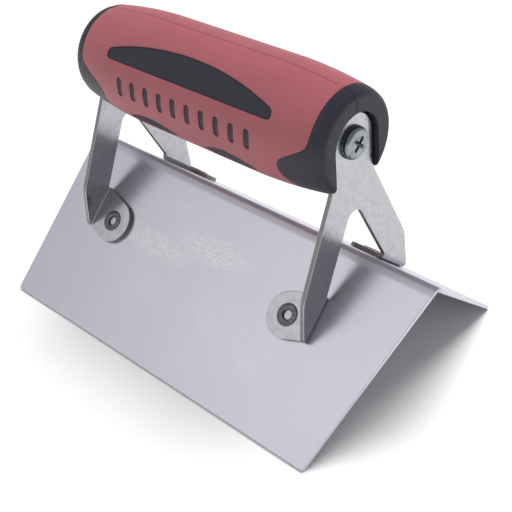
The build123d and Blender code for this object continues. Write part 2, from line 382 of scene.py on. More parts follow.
def tidy(mesh: Mesh) -> None:
    """Merges double points, removes faces with no area and turns the rest outwards.

    Args:
        mesh: the mesh to change.
    """
    work = bmesh.new()
    work.from_mesh(mesh)
    bmesh.ops.remove_doubles(work, verts=work.verts, dist=WELD)
    bmesh.ops.dissolve_degenerate(work, edges=work.edges, dist=WELD / 4)
    bmesh.ops.recalc_face_normals(work, faces=work.faces)
    work.to_mesh(mesh)
    work.free()
    mesh.polygons.foreach_set("use_smooth", [True] * len(mesh.polygons))
    mesh.set_sharp_from_angle(angle=CRISP)


def linked(name: str, data: ID) -> Object:
    """Makes an object of a mesh, a light or a camera and links it to the scene.

    Args:
        name: the object's name.
        data: what it holds.

    Returns:
        The object.
    """
    made = bpy.data.objects.new(name, data)
    bpy.context.scene.collection.objects.link(made)
    return made


def applied(thing: Object) -> Object:
    """Turns an object's modifiers into plain mesh.

    Args:
        thing: the object.

    Returns:
        The same object, with a plain mesh and no modifiers.
    """
    bpy.context.view_layer.update()
    depsgraph = bpy.context.evaluated_depsgraph_get()
    mesh = bpy.data.meshes.new_from_object(thing.evaluated_get(depsgraph), depsgraph=depsgraph)
    thing.modifiers.clear()
    thing.data = mesh
    return thing


def carved(thing: Object, cutters: Sequence[Object]) -> Object:
    """Cuts other solids out of an object and removes them.

    Args:
        thing: the object.
        cutters: the solids that are cut out, in order.

    Returns:
        The same object.
    """
    for cutter in cutters:
        cut = thing.modifiers.new("cut", "BOOLEAN")
        cut.operation, cut.solver, cut.object = "DIFFERENCE", "EXACT", cutter
        applied(thing)
        bpy.data.objects.remove(cutter)
    tidy(thing.data)
    return thing


def even_shading(thing: Object) -> Object:
    """Weights the normals by face area, so that flat faces shade flat up to a rounded rim.

    Args:
        thing: the object.

    Returns:
        The same object.
    """
    weighting = thing.modifiers.new("even shading", "WEIGHTED_NORMAL")
    weighting.mode = "FACE_AREA"
    weighting.keep_sharp = True
    return applied(thing)


def rim_rings(
    edge: np.ndarray, closed: bool, rounding: float, thickness: float, lower_rounding: float
) -> list[tuple[np.ndarray, float]]:
    """Lists the rings of a sheet's rim, from its upper face round to its lower one.

    Args:
        edge: the sheet's outline, with the material on its left.
        closed: whether the outline's last point joins its first.
        rounding: the radius of the rim's upper edge.
        thickness: the sheet's thickness.
        lower_rounding: the radius of the rim's lower edge, or 0 for a crisp one.

    Returns:
        Each ring's points and its depth below the upper face.
    """
    rings = []
    for step in range(RIM_STEPS + 1):
        angle = step / RIM_STEPS * math.pi / 2
        inset = rounding * (1 - math.sin(angle))
        rings.append((shifted(edge, inset, closed), rounding * (1 - math.cos(angle))))
    if lower_rounding <= 0:
        return [*rings, (edge, thickness)]
    for step in range(RIM_STEPS + 1):
        angle = step / RIM_STEPS * math.pi / 2
        inset = lower_rounding * (1 - math.cos(angle))
        rings.append((shifted(edge, inset, closed), thickness - lower_rounding * (1 - math.sin(angle))))
    return rings


def formed(form: Form, places: np.ndarray, depth: float) -> np.ndarray:
    """Puts flat points in space at one depth below the sheet's outer face.

    Args:
        form: the shape that the sheet is bent to.
        places: the flat points.
        depth: how far under the outer face they lie.

    Returns:
        The points in space.
    """
    return form(places, np.full(len(places), depth))


@dataclass
class SheetBlank:
    """A flat blank that is cut out, rounded at its rims and bent to shape.

    Its wall is marked as sheared from a share of the rounding, bare_from, below each face; the zinc finish
    colours the marked wall darker, partly as painted shade.
    """

    outline: np.ndarray
    thickness: float
    rounding: float
    holes: list[np.ndarray] = field(default_factory=list)
    creases: list[tuple[int, int]] = field(default_factory=list)
    bare_from: float = 0.9

    def bent(self, name: str, form: Form) -> Object:
        """Bends the blank to a shape.

        Args:
            name: the new object's name.
            form: gives the place in space of flat points at given depths.

        Returns:
            The bent sheet as a closed mesh.
        """
        quilt = Quilt()
        edges = [self.outline, *self.holes]
        flat = [shifted(edge, self.rounding) for edge in edges]
        places, triangles = filled(flat, creases=self.creases)
        quilt.add(formed(form, places, 0.0), triangles)
        quilt.add(formed(form, places, self.thickness), triangles[:, ::-1])
        for edge in edges:
            rings = rim_rings(edge, True, self.rounding, self.thickness, self.rounding)
            start = self.rounding * self.bare_from
            marks = [float(start < depth < self.thickness - start) for places, depth in rings]
            quilt.strip([formed(form, places, depth) for places, depth in rings], marks=marks)
        return even_shading(quilt.sew(name))


def lathe(name: str, profile: np.ndarray, steps: int, marks: Sequence[float]) -> Object:
    """Turns a profile round the Z axis into a closed solid.

    Args:
        name: the new object's name.
        profile: (radius, height) points; the first and last lie on the axis.
        steps: how many points there are in each ring.
        marks: how much each ring is marked for the finish.

    Returns:
        The object.
    """
    angles = np.arange(steps) / steps * math.tau
    rings = [
        np.stack((radius * np.cos(angles), radius * np.sin(angles), np.full(steps, height)), 1)
        for radius, height in profile
    ]
    quilt = Quilt()
    quilt.strip(rings, marks=marks)
    return quilt.sew(name)


def arc(x: float, y: float, radius: float, start: float, end: float, steps: int) -> np.ndarray:
    """Lists points on an arc.

    Args:
        x: the centre's first coordinate.
        y: the centre's second coordinate.
        radius: the arc's radius.
        start: its first angle, in degrees from the first axis.
        end: its last angle, in degrees.
        steps: how many steps it is divided into.

    Returns:
        The points.
    """
    angles = np.radians(np.linspace(start, end, steps + 1))
    return np.stack((x + radius * np.cos(angles), y + radius * np.sin(angles)), 1)


# ---- finishes ----
def feed(tree: NodeTree, socket: NodeSocket, value: object) -> None:
    """Links a socket to another one, or sets its value.

    Args:
        tree: the node tree that both are in.
        socket: the input.
        value: an output socket, a number or a tuple.
    """
    if isinstance(value, NodeSocket):
        tree.links.new(value, socket)
    else:
        socket.default_value = value


class Canvas:
    """A material's node tree, with short ways to add the nodes that the finishes share."""

    # Where a dot has faded out, as a multiple of its radius.
    DOT_FADE = 1.8

    def __init__(self, name: str) -> None:
        """Makes a material that holds only a Principled shader.

        Args:
            name: the material's name.
        """
        self.material = bpy.data.materials.new(name)
        self.material.use_nodes = True
        self.tree = self.material.node_tree
        self.shader = next(node for node in self.tree.nodes if node.type == "BSDF_PRINCIPLED")
        self.object_place = self.tree.nodes.new("ShaderNodeTexCoord").outputs["Object"]

    def put(self, socket: NodeSocket, value: object) -> None:
        """Links one of the tree's sockets to another one, or sets its value."""
        feed(self.tree, socket, value)

    def settings(self, **values: object) -> None:
        """Sets the shader's own inputs; an underscore in a name stands for a space."""
        for name, value in values.items():
            self.put(self.shader.inputs[name.replace("_", " ")], value)

    def mark(self) -> NodeSocket:
        """Adds a reading of how much the piece's own mesh marks a place.

        Returns:
            The reading, from 0 to 1.
        """
        node = self.tree.nodes.new("ShaderNodeAttribute")
        node.attribute_name = MARK
        return node.outputs["Fac"]

    def mapped(self, scale: Sequence[float]) -> NodeSocket:
        """Scales the piece's own coordinates.

        Args:
            scale: the scale along each axis.

        Returns:
            The new coordinates.
        """
        node = self.tree.nodes.new("ShaderNodeMapping")
        self.put(node.inputs["Vector"], self.object_place)
        node.inputs["Scale"].default_value = tuple(scale)
        return node.outputs["Vector"]

    def noise(
        self, size: float, detail: float = 3, rough: float = 0.5, place: NodeSocket | None = None
    ) -> NodeSocket:
        """Adds a noise pattern.

        Args:
            size: how large its features are, in metres.
            detail: how many finer layers it has.
            rough: how strong the finer layers are.
            place: the coordinates it reads, or the piece's own.

        Returns:
            The pattern, from 0 to 1.
        """
        node = self.tree.nodes.new("ShaderNodeTexNoise")
        self.put(node.inputs["Vector"], place or self.object_place)
        node.inputs["Scale"].default_value = 1 / size
        node.inputs["Detail"].default_value = detail
        node.inputs["Roughness"].default_value = rough
        return node.outputs["Fac"]

    def cells(self, size: float, feature: str = "F1") -> NodeSocket:
        """Adds a pattern of cells.

        Args:
            size: how large a cell is, in metres.
            feature: what the pattern's distance measures.

        Returns:
            The distance from the middle of the nearest cell, in cells.
        """
        node = self.tree.nodes.new("ShaderNodeTexVoronoi")
        node.feature = feature
        self.put(node.inputs["Vector"], self.object_place)
        node.inputs["Scale"].default_value = 1 / size
        return node.outputs["Distance"]

    def dots(self, size: float, radius: float, strength: float = 1.0) -> NodeSocket:
        """Scatters small soft dots, one in the middle of each cell.

        Args:
            size: how large a cell is, in metres.
            radius: how large a dot is, in cells.
            strength: how strong a dot is in its middle.

        Returns:
            The pattern.
        """
        return self.sloped(self.cells(size), (radius, radius * self.DOT_FADE), (strength, 0))

    def sloped(self, value: NodeSocket, given: Pair, wanted: Pair = (0, 1)) -> NodeSocket:
        """Maps a range of a pattern onto another range, with soft ends.

        Args:
            value: the pattern.
            given: where the range starts and ends.
            wanted: the results at its start and at its end.

        Returns:
            The mapped pattern.
        """
        node = self.tree.nodes.new("ShaderNodeMapRange")
        node.interpolation_type = "SMOOTHSTEP"
        self.put(node.inputs["Value"], value)
        for name, number in zip(("From Min", "From Max", "To Min", "To Max"), (*given, *wanted)):
            node.inputs[name].default_value = number
        return node.outputs["Result"]

    def maths(self, operation: str, *values: object) -> NodeSocket:
        """Adds a Math node.

        Args:
            operation: what it does.
            values: its inputs, as sockets or numbers.

        Returns:
            Its result.
        """
        node = self.tree.nodes.new("ShaderNodeMath")
        node.operation = operation
        for socket, value in zip(node.inputs, values):
            self.put(socket, value)
        return node.outputs["Value"]

    def distance_to(self, place: NodeSocket, target: Sequence[float]) -> NodeSocket:
        """Measures how far a place is from a fixed point.

        Args:
            place: the coordinates.
            target: the point.

        Returns:
            The distance.
        """
        node = self.tree.nodes.new("ShaderNodeVectorMath")
        node.operation = "DISTANCE"
        self.put(node.inputs[0], place)
        node.inputs[1].default_value = tuple(target)
        return node.outputs["Value"]

    def blend(self, share: object, first: object, second: object) -> NodeSocket:
        """Mixes two colours.

        Args:
            share: how much of the second one is used.
            first: the first colour, as a socket or three numbers.
            second: the second colour.

        Returns:
            The mixed colour.
        """
        node = self.tree.nodes.new("ShaderNodeMix")
        node.data_type = "RGBA"
        self.put(node.inputs[0], share)
        for socket, value in ((node.inputs[6], first), (node.inputs[7], second)):
            self.put(socket, value if isinstance(value, NodeSocket) else (*value, 1))
        return node.outputs[2]

    def bump(self, height: object, depth: float, under: NodeSocket | None = None) -> NodeSocket:
        """Turns a pattern into surface relief.

        Args:
            height: the pattern.
            depth: how deep the relief is, in metres.
            under: the relief that this one lies on.

        Returns:
            The normal.
        """
        node = self.tree.nodes.new("ShaderNodeBump")
        node.inputs["Distance"].default_value = depth
        self.put(node.inputs["Height"], height)
        if under is not None:
            self.put(node.inputs["Normal"], under)
        return node.outputs["Normal"]


@dataclass(frozen=True)
class SatinStainless:
    """Rolled stainless sheet: satin, faintly grained along the ridge, with light scuffs."""

    shade: Triple = (0.590, 0.590, 0.668)
    dull_shade: Triple = (0.570, 0.570, 0.642)
    scuff_shade: Triple = (0.86, 0.86, 0.84)
    roughness: float = 0.30
    roughness_swing: float = 0.06
    scuff_roughness: float = 0.44
    cloud_size: float = 38 * MM
    cloud_range: Pair = (0.3, 0.7)
    scuff_size: float = 0.9 * MM
    scuff_range: Pair = (0.44, 0.60)
    patch_size: float = 26 * MM
    patch_range: Pair = (0.60, 0.74)
    patch_strength: float = 0.3
    smears: tuple[Triple, ...] = ((-27 * MM, -20 * MM, 26.5 * MM), (-2 * MM, -15 * MM, 31 * MM))
    smear_reach: Triple = (17 * MM, 4.5 * MM, 4.5 * MM)
    smear_waver: float = 0.5
    smear_range: Pair = (0.3, 1.3)
    smear_strength: float = 0.55
    grain_size: float = 0.22 * MM
    grain_stretch: float = 0.04
    grain_range: Pair = (0.2, 0.8)
    grain_depth: float = 0.0016 * MM
    fold_reach: Pair = (1.6 * MM, 4.5 * MM)
    fold_roughness: float = 0.55
    wave_size: float = 26 * MM
    wave_depth: float = 0.004 * MM

    def material(self) -> Material:
        """Builds the finish.

        Returns:
            The material.
        """
        canvas = Canvas("satin stainless")
        cloud = canvas.noise(self.cloud_size, 2)
        grain = canvas.noise(self.grain_size, 2, 0.6, canvas.mapped((self.grain_stretch, 1, 1)))
        specks = canvas.sloped(canvas.noise(self.scuff_size, 6, 0.72), self.scuff_range)
        patch = canvas.sloped(canvas.noise(self.patch_size, 1), self.patch_range, (0, self.patch_strength))
        near = canvas.mapped(tuple(1 / reach for reach in self.smear_reach))
        centres = [[place[k] / self.smear_reach[k] for k in range(3)] for place in self.smears]
        nearest = canvas.maths("MINIMUM", *(canvas.distance_to(near, centre) for centre in centres))
        waver = canvas.sloped(cloud, (0, 1), (-self.smear_waver, self.smear_waver))
        away = canvas.maths("ADD", nearest, waver)
        smear = canvas.sloped(away, self.smear_range, (self.smear_strength, 0))
        scuffs = canvas.maths("MULTIPLY", specks, canvas.maths("MAXIMUM", patch, smear))
        clean = canvas.blend(canvas.sloped(cloud, self.cloud_range), self.dull_shade, self.shade)
        least, most = (self.roughness * (1 + way * self.roughness_swing) for way in (-1, 1))
        rough = canvas.sloped(grain, self.grain_range, (least, most))
        extra = canvas.maths("MULTIPLY", scuffs, self.scuff_roughness - self.roughness)
        relief = canvas.bump(canvas.noise(self.wave_size, 1), self.wave_depth)
        apart = canvas.tree.nodes.new("ShaderNodeSeparateXYZ")
        canvas.put(apart.inputs["Vector"], canvas.object_place)
        from_ridge = canvas.maths("ABSOLUTE", apart.outputs["Y"])
        stretched = canvas.sloped(from_ridge, self.fold_reach, (self.fold_roughness, 0))
        canvas.settings(
            Base_Color=canvas.blend(scuffs, clean, self.scuff_shade),
            Metallic=1.0,
            Roughness=canvas.maths("MAXIMUM", canvas.maths("ADD", rough, extra), stretched),
            Normal=canvas.bump(grain, self.grain_depth, relief),
        )
        return canvas.material


@dataclass(frozen=True)
class ZincPlate:
    """Bright zinc on stamped steel: mottled, tumbled, with pits and heat tint round the rivets."""

    rivet_place: Triple
    middle: float
    rivet_radius: float
    shade: Triple = (0.475, 0.475, 0.505)
    mottle_shade: Triple = (0.435, 0.435, 0.468)
    pit_shade: Triple = (0.20, 0.20, 0.21)
    tint_shade: Triple = (0.36, 0.28, 0.19)
    # Sheared rims: duller steel, darkened further by painted shade for the contact shadow along the tabs'
    # edges.
    sheared_rim_and_shadow_shade: Triple = (0.27, 0.27, 0.275)
    roughness: float = 0.22
    mottle_roughness: float = 0.30
    sheared_roughness: float = 0.5
    mottle_size: float = 2.4 * MM
    mottle_range: Pair = (0.40, 0.66)
    roughness_range: Pair = (0.35, 0.75)
    fleck_size: float = 0.7 * MM
    fleck_range: Pair = (0.58, 0.75)
    fleck_strength: float = 0.2
    pit_size: float = 13 * MM
    pit_radius: float = 0.018
    dent_size: float = 3.2 * MM
    dent_depth: float = 0.005 * MM
    fleck_depth: float = 0.0015 * MM
    tint_width: float = 0.45 * MM
    tint_start: float = 0.98
    tint_strength: float = 0.75

    def material(self) -> Material:
        """Builds the finish.

        Returns:
            The material.
        """
        canvas = Canvas("zinc plate")
        mottle = canvas.noise(self.mottle_size, 4, 0.62)
        fleck = canvas.noise(self.fleck_size, 3, 0.6)
        flecks = canvas.sloped(fleck, self.fleck_range, (0, self.fleck_strength))
        away = canvas.distance_to(self.folded_place(canvas), self.rivet_place)
        tinted = (self.rivet_radius * self.tint_start, self.rivet_radius + self.tint_width)
        tint = canvas.sloped(away, tinted, (self.tint_strength, 0))
        base = canvas.blend(canvas.sloped(mottle, self.mottle_range), self.shade, self.mottle_shade)
        base = canvas.blend(flecks, base, self.mottle_shade)
        base = canvas.blend(tint, base, self.tint_shade)
        base = canvas.blend(canvas.dots(self.pit_size, self.pit_radius), base, self.pit_shade)
        relief = canvas.bump(canvas.noise(self.dent_size, 2), self.dent_depth)
        relief = canvas.bump(fleck, self.fleck_depth, relief)
        # The mark picks out the sheared rims, whose darker colour is partly painted shade.
        sheared = canvas.mark()
        rough = canvas.sloped(mottle, self.roughness_range, (self.roughness, self.mottle_roughness))
        torn = canvas.maths("MULTIPLY", sheared, self.sheared_roughness)
        canvas.settings(
            Base_Color=canvas.blend(sheared, base, self.sheared_rim_and_shadow_shade),
            Metallic=1.0,
            Roughness=canvas.maths("MAXIMUM", rough, torn),
            Normal=relief,
        )
        return canvas.material

    def folded_place(self, canvas: Canvas) -> NodeSocket:
        """Folds the coordinates so that all four rivets read as one.

        Args:
            canvas: the material's nodes.

        Returns:
            The folded coordinates.
        """
        apart = canvas.tree.nodes.new("ShaderNodeSeparateXYZ")
        canvas.put(apart.inputs["Vector"], canvas.object_place)
        joined = canvas.tree.nodes.new("ShaderNodeCombineXYZ")
        from_middle = canvas.maths("SUBTRACT", apart.outputs["X"], self.middle)
        canvas.put(joined.inputs["X"], canvas.maths("ABSOLUTE", from_middle))
        canvas.put(joined.inputs["Y"], canvas.maths("ABSOLUTE", apart.outputs["Y"]))
        canvas.put(joined.inputs["Z"], apart.outputs["Z"])
        return joined.outputs["Vector"]


@dataclass(frozen=True)
class PlainMetal:
    """A small turned or struck part: one metal shade, clouded, and another where it is marked."""

    name: str
    shade: Triple
    cloud_shade: Triple
    roughness: float
    marked_shade: Triple
    cloud_size: float
    cloud_range: Pair = (0.4, 0.65)
    roughness_range: Pair = (0.3, 0.7)
    roughness_swing: Pair = (0.8, 1.3)
    grain_size: float = 0.25 * MM
    grain_depth: float = 0.004 * MM

    def material(self) -> Material:
        """Builds the finish.

        Returns:
            The material.
        """
        canvas = Canvas(self.name)
        cloud = canvas.noise(self.cloud_size, 4, 0.6)
        grain = canvas.noise(self.grain_size, 2)
        base = canvas.blend(canvas.sloped(cloud, self.cloud_range), self.shade, self.cloud_shade)
        least, most = (self.roughness * share for share in self.roughness_swing)
        canvas.settings(
            Base_Color=canvas.blend(canvas.mark(), base, self.marked_shade),
            Metallic=1.0,
            Roughness=canvas.sloped(cloud, self.roughness_range, (least, most)),
            Normal=canvas.bump(grain, self.grain_depth),
        )
        return canvas.material


@dataclass(frozen=True)
class MouldedPolymer:
    """A moulded plastic or rubber: a base shade, soft clouding, and fine leathery grain.

    The grain is a pebble pattern, pebble_size times as large as the fine pattern that lies on it.
    """

    name: str
    shade: Triple
    cloud_shade: Triple
    speck_shade: Triple
    roughness: float
    grain_size: float
    grain_depth: float
    sheen: float = 0.0
    sheen_roughness: float = 0.4
    gloss: float = 0.5
    cloud_size: float = 16 * MM
    speck_size: float = 5.5 * MM
    speck_radius: float = 0.035
    speck_strength: float = 0.5
    pebble_size: float = 2.2
    fine_share: float = 0.6
    pattern_range: Pair = (0.3, 0.7)
    roughness_swing: float = 0.07

    def material(self) -> Material:
        """Builds the finish.

        Returns:
            The material.
        """
        canvas = Canvas(self.name)
        cloud = canvas.noise(self.cloud_size, 3, 0.55)
        grain = canvas.noise(self.grain_size, 4, 0.6)
        pebble = canvas.cells(self.grain_size * self.pebble_size, "SMOOTH_F1")
        dust = canvas.dots(self.speck_size, self.speck_radius, self.speck_strength)
        base = canvas.blend(canvas.sloped(cloud, self.pattern_range), self.shade, self.cloud_shade)
        least, most = (self.roughness * (1 + way * self.roughness_swing) for way in (-1, 1))
        relief = canvas.bump(pebble, self.grain_depth)
        canvas.settings(
            Base_Color=canvas.blend(dust, base, self.speck_shade),
            Roughness=canvas.sloped(grain, self.pattern_range, (least, most)),
            Specular_IOR_Level=self.gloss,
            Sheen_Weight=self.sheen,
            Sheen_Roughness=self.sheen_roughness,
            Normal=canvas.bump(grain, self.grain_depth * self.fine_share, relief),
        )
        return canvas.material


def dressed(thing: Object, material: Material, slot: Slot, nodes: Sequence[str]) -> Object:
    """Gives a piece its finish and ties it to the frame.

    Args:
        thing: the piece.
        material: its finish.
        slot: the material slot that the finish stands for; it is not used.
        nodes: the CAD nodes that the piece replaces.

    Returns:
        The piece.
    """
    thing.data.materials.clear()
    thing.data.materials.append(material)
    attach(thing, BODY)
    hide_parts(*nodes)
    log.info("%s: %d faces, for %s", thing.name, len(thing.data.polygons), ", ".join(nodes))
    return thing


# ---- the blade ----
@dataclass
class Blade:
    """The folded stainless sheet, and the frame of its two legs that the feet stand on."""

    fold_angle: float = math.radians(95)
    leg_width: float = 65 * MM
    sheet: float = 1.2 * MM
    inner_radius: float = 0.8 * MM
    nose_rake: float = 12.2 * MM
    corner_radius: float = 0.8 * MM
    rim: float = 0.16 * MM
    fold_steps: int = 14
    rear_x: float = field(init=False)
    nose_x: float = field(init=False)
    ridge_z: float = field(init=False)

    def __post_init__(self) -> None:
        """Takes the ridge's ends and height from the CAD node's box."""
        low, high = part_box("blade")
        self.rear_x, self.nose_x = low.x, high.x
        half = self.fold_angle / 2
        self.ridge_z = self.leg_width * math.cos(half) + self.sheet * math.sin(half)

    @property
    def outer_radius(self) -> float:
        """The radius of the ridge's outer face."""
        return self.inner_radius + self.sheet

    @property
    def half_turn(self) -> float:
        """How far each leg turns down from level, in radians."""
        return (math.pi - self.fold_angle) / 2

    def on_leg(self, down: np.ndarray, out: np.ndarray, side: np.ndarray) -> tuple[np.ndarray, np.ndarray]:
        """Finds a point by its place on a leg.

        Args:
            down: the distance down the leg from the sharp ridge.
            out: the height over the leg's outer face.
            side: 1 for the left leg and -1 for the right one.

        Returns:
            The point's Y and Z.
        """
        half = self.fold_angle / 2
        y = side * (down * math.sin(half) + out * math.cos(half))
        return y, self.ridge_z - down * math.cos(half) + out * math.sin(half)

    def form(self, places: np.ndarray, depth: np.ndarray) -> np.ndarray:
        """Folds the flat sheet: the first coordinate is X, the second runs across the fold.

        Args:
            places: flat points.
            depth: how far each lies under the outer face.

        Returns:
            The points in space.
        """
        across = places[:, 1]
        bend = self.outer_radius * self.half_turn
        tangent = self.outer_radius * math.tan(self.half_turn)
        angle = np.clip(across, -bend, bend) / self.outer_radius
        centre = self.ridge_z - self.outer_radius / math.cos(self.half_turn)
        reach = self.outer_radius - depth
        leg_y, leg_z = self.on_leg(np.abs(across) - bend + tangent, -depth, np.sign(across))
        folded = np.abs(across) <= bend
        y = np.where(folded, reach * np.sin(angle), leg_y)
        z = np.where(folded, centre + reach * np.cos(angle), leg_z)
        return np.stack((places[:, 0], y, z), 1)

    def build(self) -> Object:
        """Cuts the blank and folds it.

        Returns:
            The folded sheet.
        """
        bend = self.outer_radius * self.half_turn
        width = self.leg_width - self.outer_radius * math.tan(self.half_turn) + bend
        front = self.nose_x - self.nose_rake
        corner = self.corner_radius
        outline = rounded_loop(
            [
                (self.rear_x, -width, corner),
                (front, -width, corner),
                (self.nose_x, 0, 0),
                (front, width, corner),
                (self.rear_x, width, corner),
            ]
        )
        steps = range(-self.fold_steps, self.fold_steps + 1)
        levels = [step / self.fold_steps * bend for step in steps if step]
        outline, creases = with_levels(outline, lambda points: points[:, 1], levels)
        return SheetBlank(outline, self.sheet, self.rim, creases=creases).bent("blade_sheet", self.form)

    def dress(self, thing: Object) -> Object:
        """Gives the sheet its satin finish."""
        return dressed(thing, SatinStainless().material(), Slot.STAINLESS, ["blade"])


# ---- the brackets ----
@dataclass
class Bracket:
    """One stamped bracket: a wishbone plate with a tongue above and two feet bent under.

    The tongue's and the tabs' round ends fall just short of a half circle, by tongue_fullness and
    tab_fullness, so that the straight sides between them keep some length.
    """

    blade: Blade
    middle: float
    plate: float = 1.6 * MM
    bend_inner: float = 0.4 * MM
    tongue_half: float = 8.7 * MM
    tongue_drop: float = 11.5 * MM
    tongue_fullness: float = 0.999
    shoulder_round: float = 10 * MM
    knee_half: float = 24 * MM
    knee_under_ridge: float = 6.5 * MM
    knee_round: float = 9 * MM
    gap_over_ridge: float = 18.2 * MM
    gap_round: float = 3.5 * MM
    foot_top: float = 16.9 * MM
    foot_bottom: float = 32.2 * MM
    heel_round: float = 3.0 * MM
    tab_radius: float = 7.6 * MM
    tab_fullness: float = 0.998
    neck_round: float = 0.8 * MM
    rivet_reach: float = 10.2 * MM
    rivet_down: float = 27 * MM
    rivet_hole: float = 2.25 * MM
    rivet_hole_steps: int = 28
    screw_hole: float = 2.7 * MM
    screw_hole_steps: int = 32
    rim: float = 0.22 * MM
    bend_steps: int = 8
    outer_x: float = field(init=False)
    axis_z: float = field(init=False)

    def __post_init__(self) -> None:
        """Takes the plate's place from the CAD node's box."""
        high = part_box("front_bracket")[1]
        self.outer_x = high.x
        self.axis_z = high.z - self.tongue_half

    @property
    def bend_outer(self) -> float:
        """The radius of the bend's outer face."""
        return self.bend_inner + self.plate

    @property
    def bend_length(self) -> float:
        """How long the bend is along its outer face."""
        return self.bend_outer * math.pi / 2

    def leg_measures(self, places: np.ndarray) -> tuple[np.ndarray, np.ndarray]:
        """Measures points of the flat blank against the nearer leg.

        Args:
            places: flat points, as Y and Z of the unbent plate.

        Returns:
            The distance down the leg, and the height over it, which goes on below 0 in the tab.
        """
        half = self.blade.fold_angle / 2
        y, z = np.abs(places[:, 0]), places[:, 1] - self.blade.ridge_z
        return y * math.sin(half) - z * math.cos(half), y * math.cos(half) + z * math.sin(half)

    def blank_point(self, down: float, height: float) -> Pair:
        """Gives the flat place of a point that is known by its left leg's measures."""
        y, z = self.blade.on_leg(np.array(down), np.array(height), np.array(1))
        return float(y), float(z)

    def form(self, places: np.ndarray, depth: np.ndarray, end: End) -> np.ndarray:
        """Bends the feet under, away from the handle's end.

        Args:
            places: flat points, as Y and Z of the unbent plate.
            depth: how far each lies under the plate's outer face.
            end: the end of the handle that the bracket holds.

        Returns:
            The points in space.
        """
        down, height = self.leg_measures(places)
        radius = self.bend_outer
        past = np.maximum(radius - height, 0)
        angle = np.minimum(past, self.bend_length) / radius
        tab = np.maximum(past - self.bend_length, 0)
        heel = self.outer_x - radius
        x = heel + (radius - depth) * np.cos(angle) - tab
        over = radius - (radius - depth) * np.sin(angle)
        y, z = self.blade.on_leg(down, over, np.sign(places[:, 0]))
        flat = height >= radius
        x = np.where(flat, self.outer_x - depth, x)
        y = np.where(flat, places[:, 0], y)
        z = np.where(flat, places[:, 1], z)
        return np.stack((x if end is End.FRONT else 2 * self.middle - x, y, z), 1)

    def tangent_corner(self, start: Pair, side: int) -> Triple:
        """Finds where a line that grazes the tab's round end meets the line across its tip.

        Args:
            start: the point that the line comes from, in the left leg's measures.
            side: 1 if it grazes the lower side of the round end, -1 for the upper one.

        Returns:
            The blank's corner, with the rounding that gives the round end.
        """
        middle = start[1] - (self.rivet_reach - self.bend_outer)
        across, along = self.rivet_down - start[0], middle - start[1]
        angle = math.atan2(along, across) + side * math.asin(self.tab_radius / math.hypot(across, along))
        fall = middle - self.tab_radius - start[1]
        place = self.blank_point(start[0] + fall / math.tan(angle), start[1] + fall)
        return (*place, self.tab_radius * self.tab_fullness)

    def left_corners(self) -> list[Triple]:
        """Lists the blank's corners on the left.

        Returns:
            The corners with their rounding, from the tongue down to the inner end of the bend.
        """
        radius = self.bend_outer
        low = radius - self.bend_length
        outer, inner = (self.foot_bottom, low), (self.foot_top, low)
        ridge = self.blade.ridge_z
        return [
            (self.tongue_half, self.axis_z + self.tongue_half, self.tongue_half * self.tongue_fullness),
            (self.tongue_half, self.axis_z - self.tongue_drop, self.shoulder_round),
            (self.knee_half, ridge - self.knee_under_ridge, self.knee_round),
            (*self.blank_point(self.foot_bottom, radius), self.heel_round),
            (*self.blank_point(*outer), self.heel_round / 2),
            self.tangent_corner(outer, 1),
            self.tangent_corner(inner, -1),
            (*self.blank_point(*inner), self.neck_round),
            (*self.blank_point(self.foot_top, radius), 0.0),
        ]

    def side_height(self, points: np.ndarray, side: Side) -> np.ndarray:
        """Measures points over one leg, and sets those of the other side far above it.

        Args:
            points: flat points of the blank.
            side: which leg.

        Returns:
            Each point's height over the leg.
        """
        on_side = points[:, 0] * side.value > 0
        return np.where(on_side, self.leg_measures(points)[1], np.inf)

    def outline(self) -> tuple[np.ndarray, list[tuple[int, int]]]:
        """Draws the blank.

        Returns:
            The outline, running anticlockwise, and the creases of its two bends.
        """
        left = self.left_corners()
        gap = (0.0, self.blade.ridge_z + self.gap_over_ridge, self.gap_round)
        right = [(-y, z, rounding) for y, z, rounding in reversed(left)]
        loop = rounded_loop([*left, gap, *right])[::-1]
        creases: list[tuple[int, int]] = []
        steps = range(self.bend_steps + 1)
        levels = [self.bend_outer - step / self.bend_steps * self.bend_length for step in steps]
        for side in Side:
            before = loop
            loop, found = with_levels(loop, partial(self.side_height, side=side), levels)
            moved = {
                old: int(np.flatnonzero((loop == before[old]).all(axis=1))[0])
                for pair in creases
                for old in pair
            }
            creases = [(moved[first], moved[second]) for first, second in creases] + found
        return loop, creases

    def build(self, end: End) -> Object:
        """Cuts and bends one bracket.

        Args:
            end: the end of the handle that it holds.

        Returns:
            The bracket.
        """
        outline, creases = self.outline()
        rivet_height = self.bend_outer - self.bend_length - (self.rivet_reach - self.bend_outer)
        y, z = self.blank_point(self.rivet_down, rivet_height)
        holes = [
            circle_loop(0, self.axis_z, self.screw_hole, self.screw_hole_steps),
            circle_loop(y, z, self.rivet_hole, self.rivet_hole_steps),
            circle_loop(-y, z, self.rivet_hole, self.rivet_hole_steps),
        ]
        blank = SheetBlank(outline, self.plate, self.rim, holes, creases)
        return blank.bent(f"{end.name.lower()}_bracket_plate", partial(self.form, end=end))

    def dress(self, thing: Object, end: End, material: Material) -> Object:
        """Gives a bracket its zinc finish."""
        return dressed(thing, material, Slot.ZINC_PLATE, [f"{end.name.lower()}_bracket"])


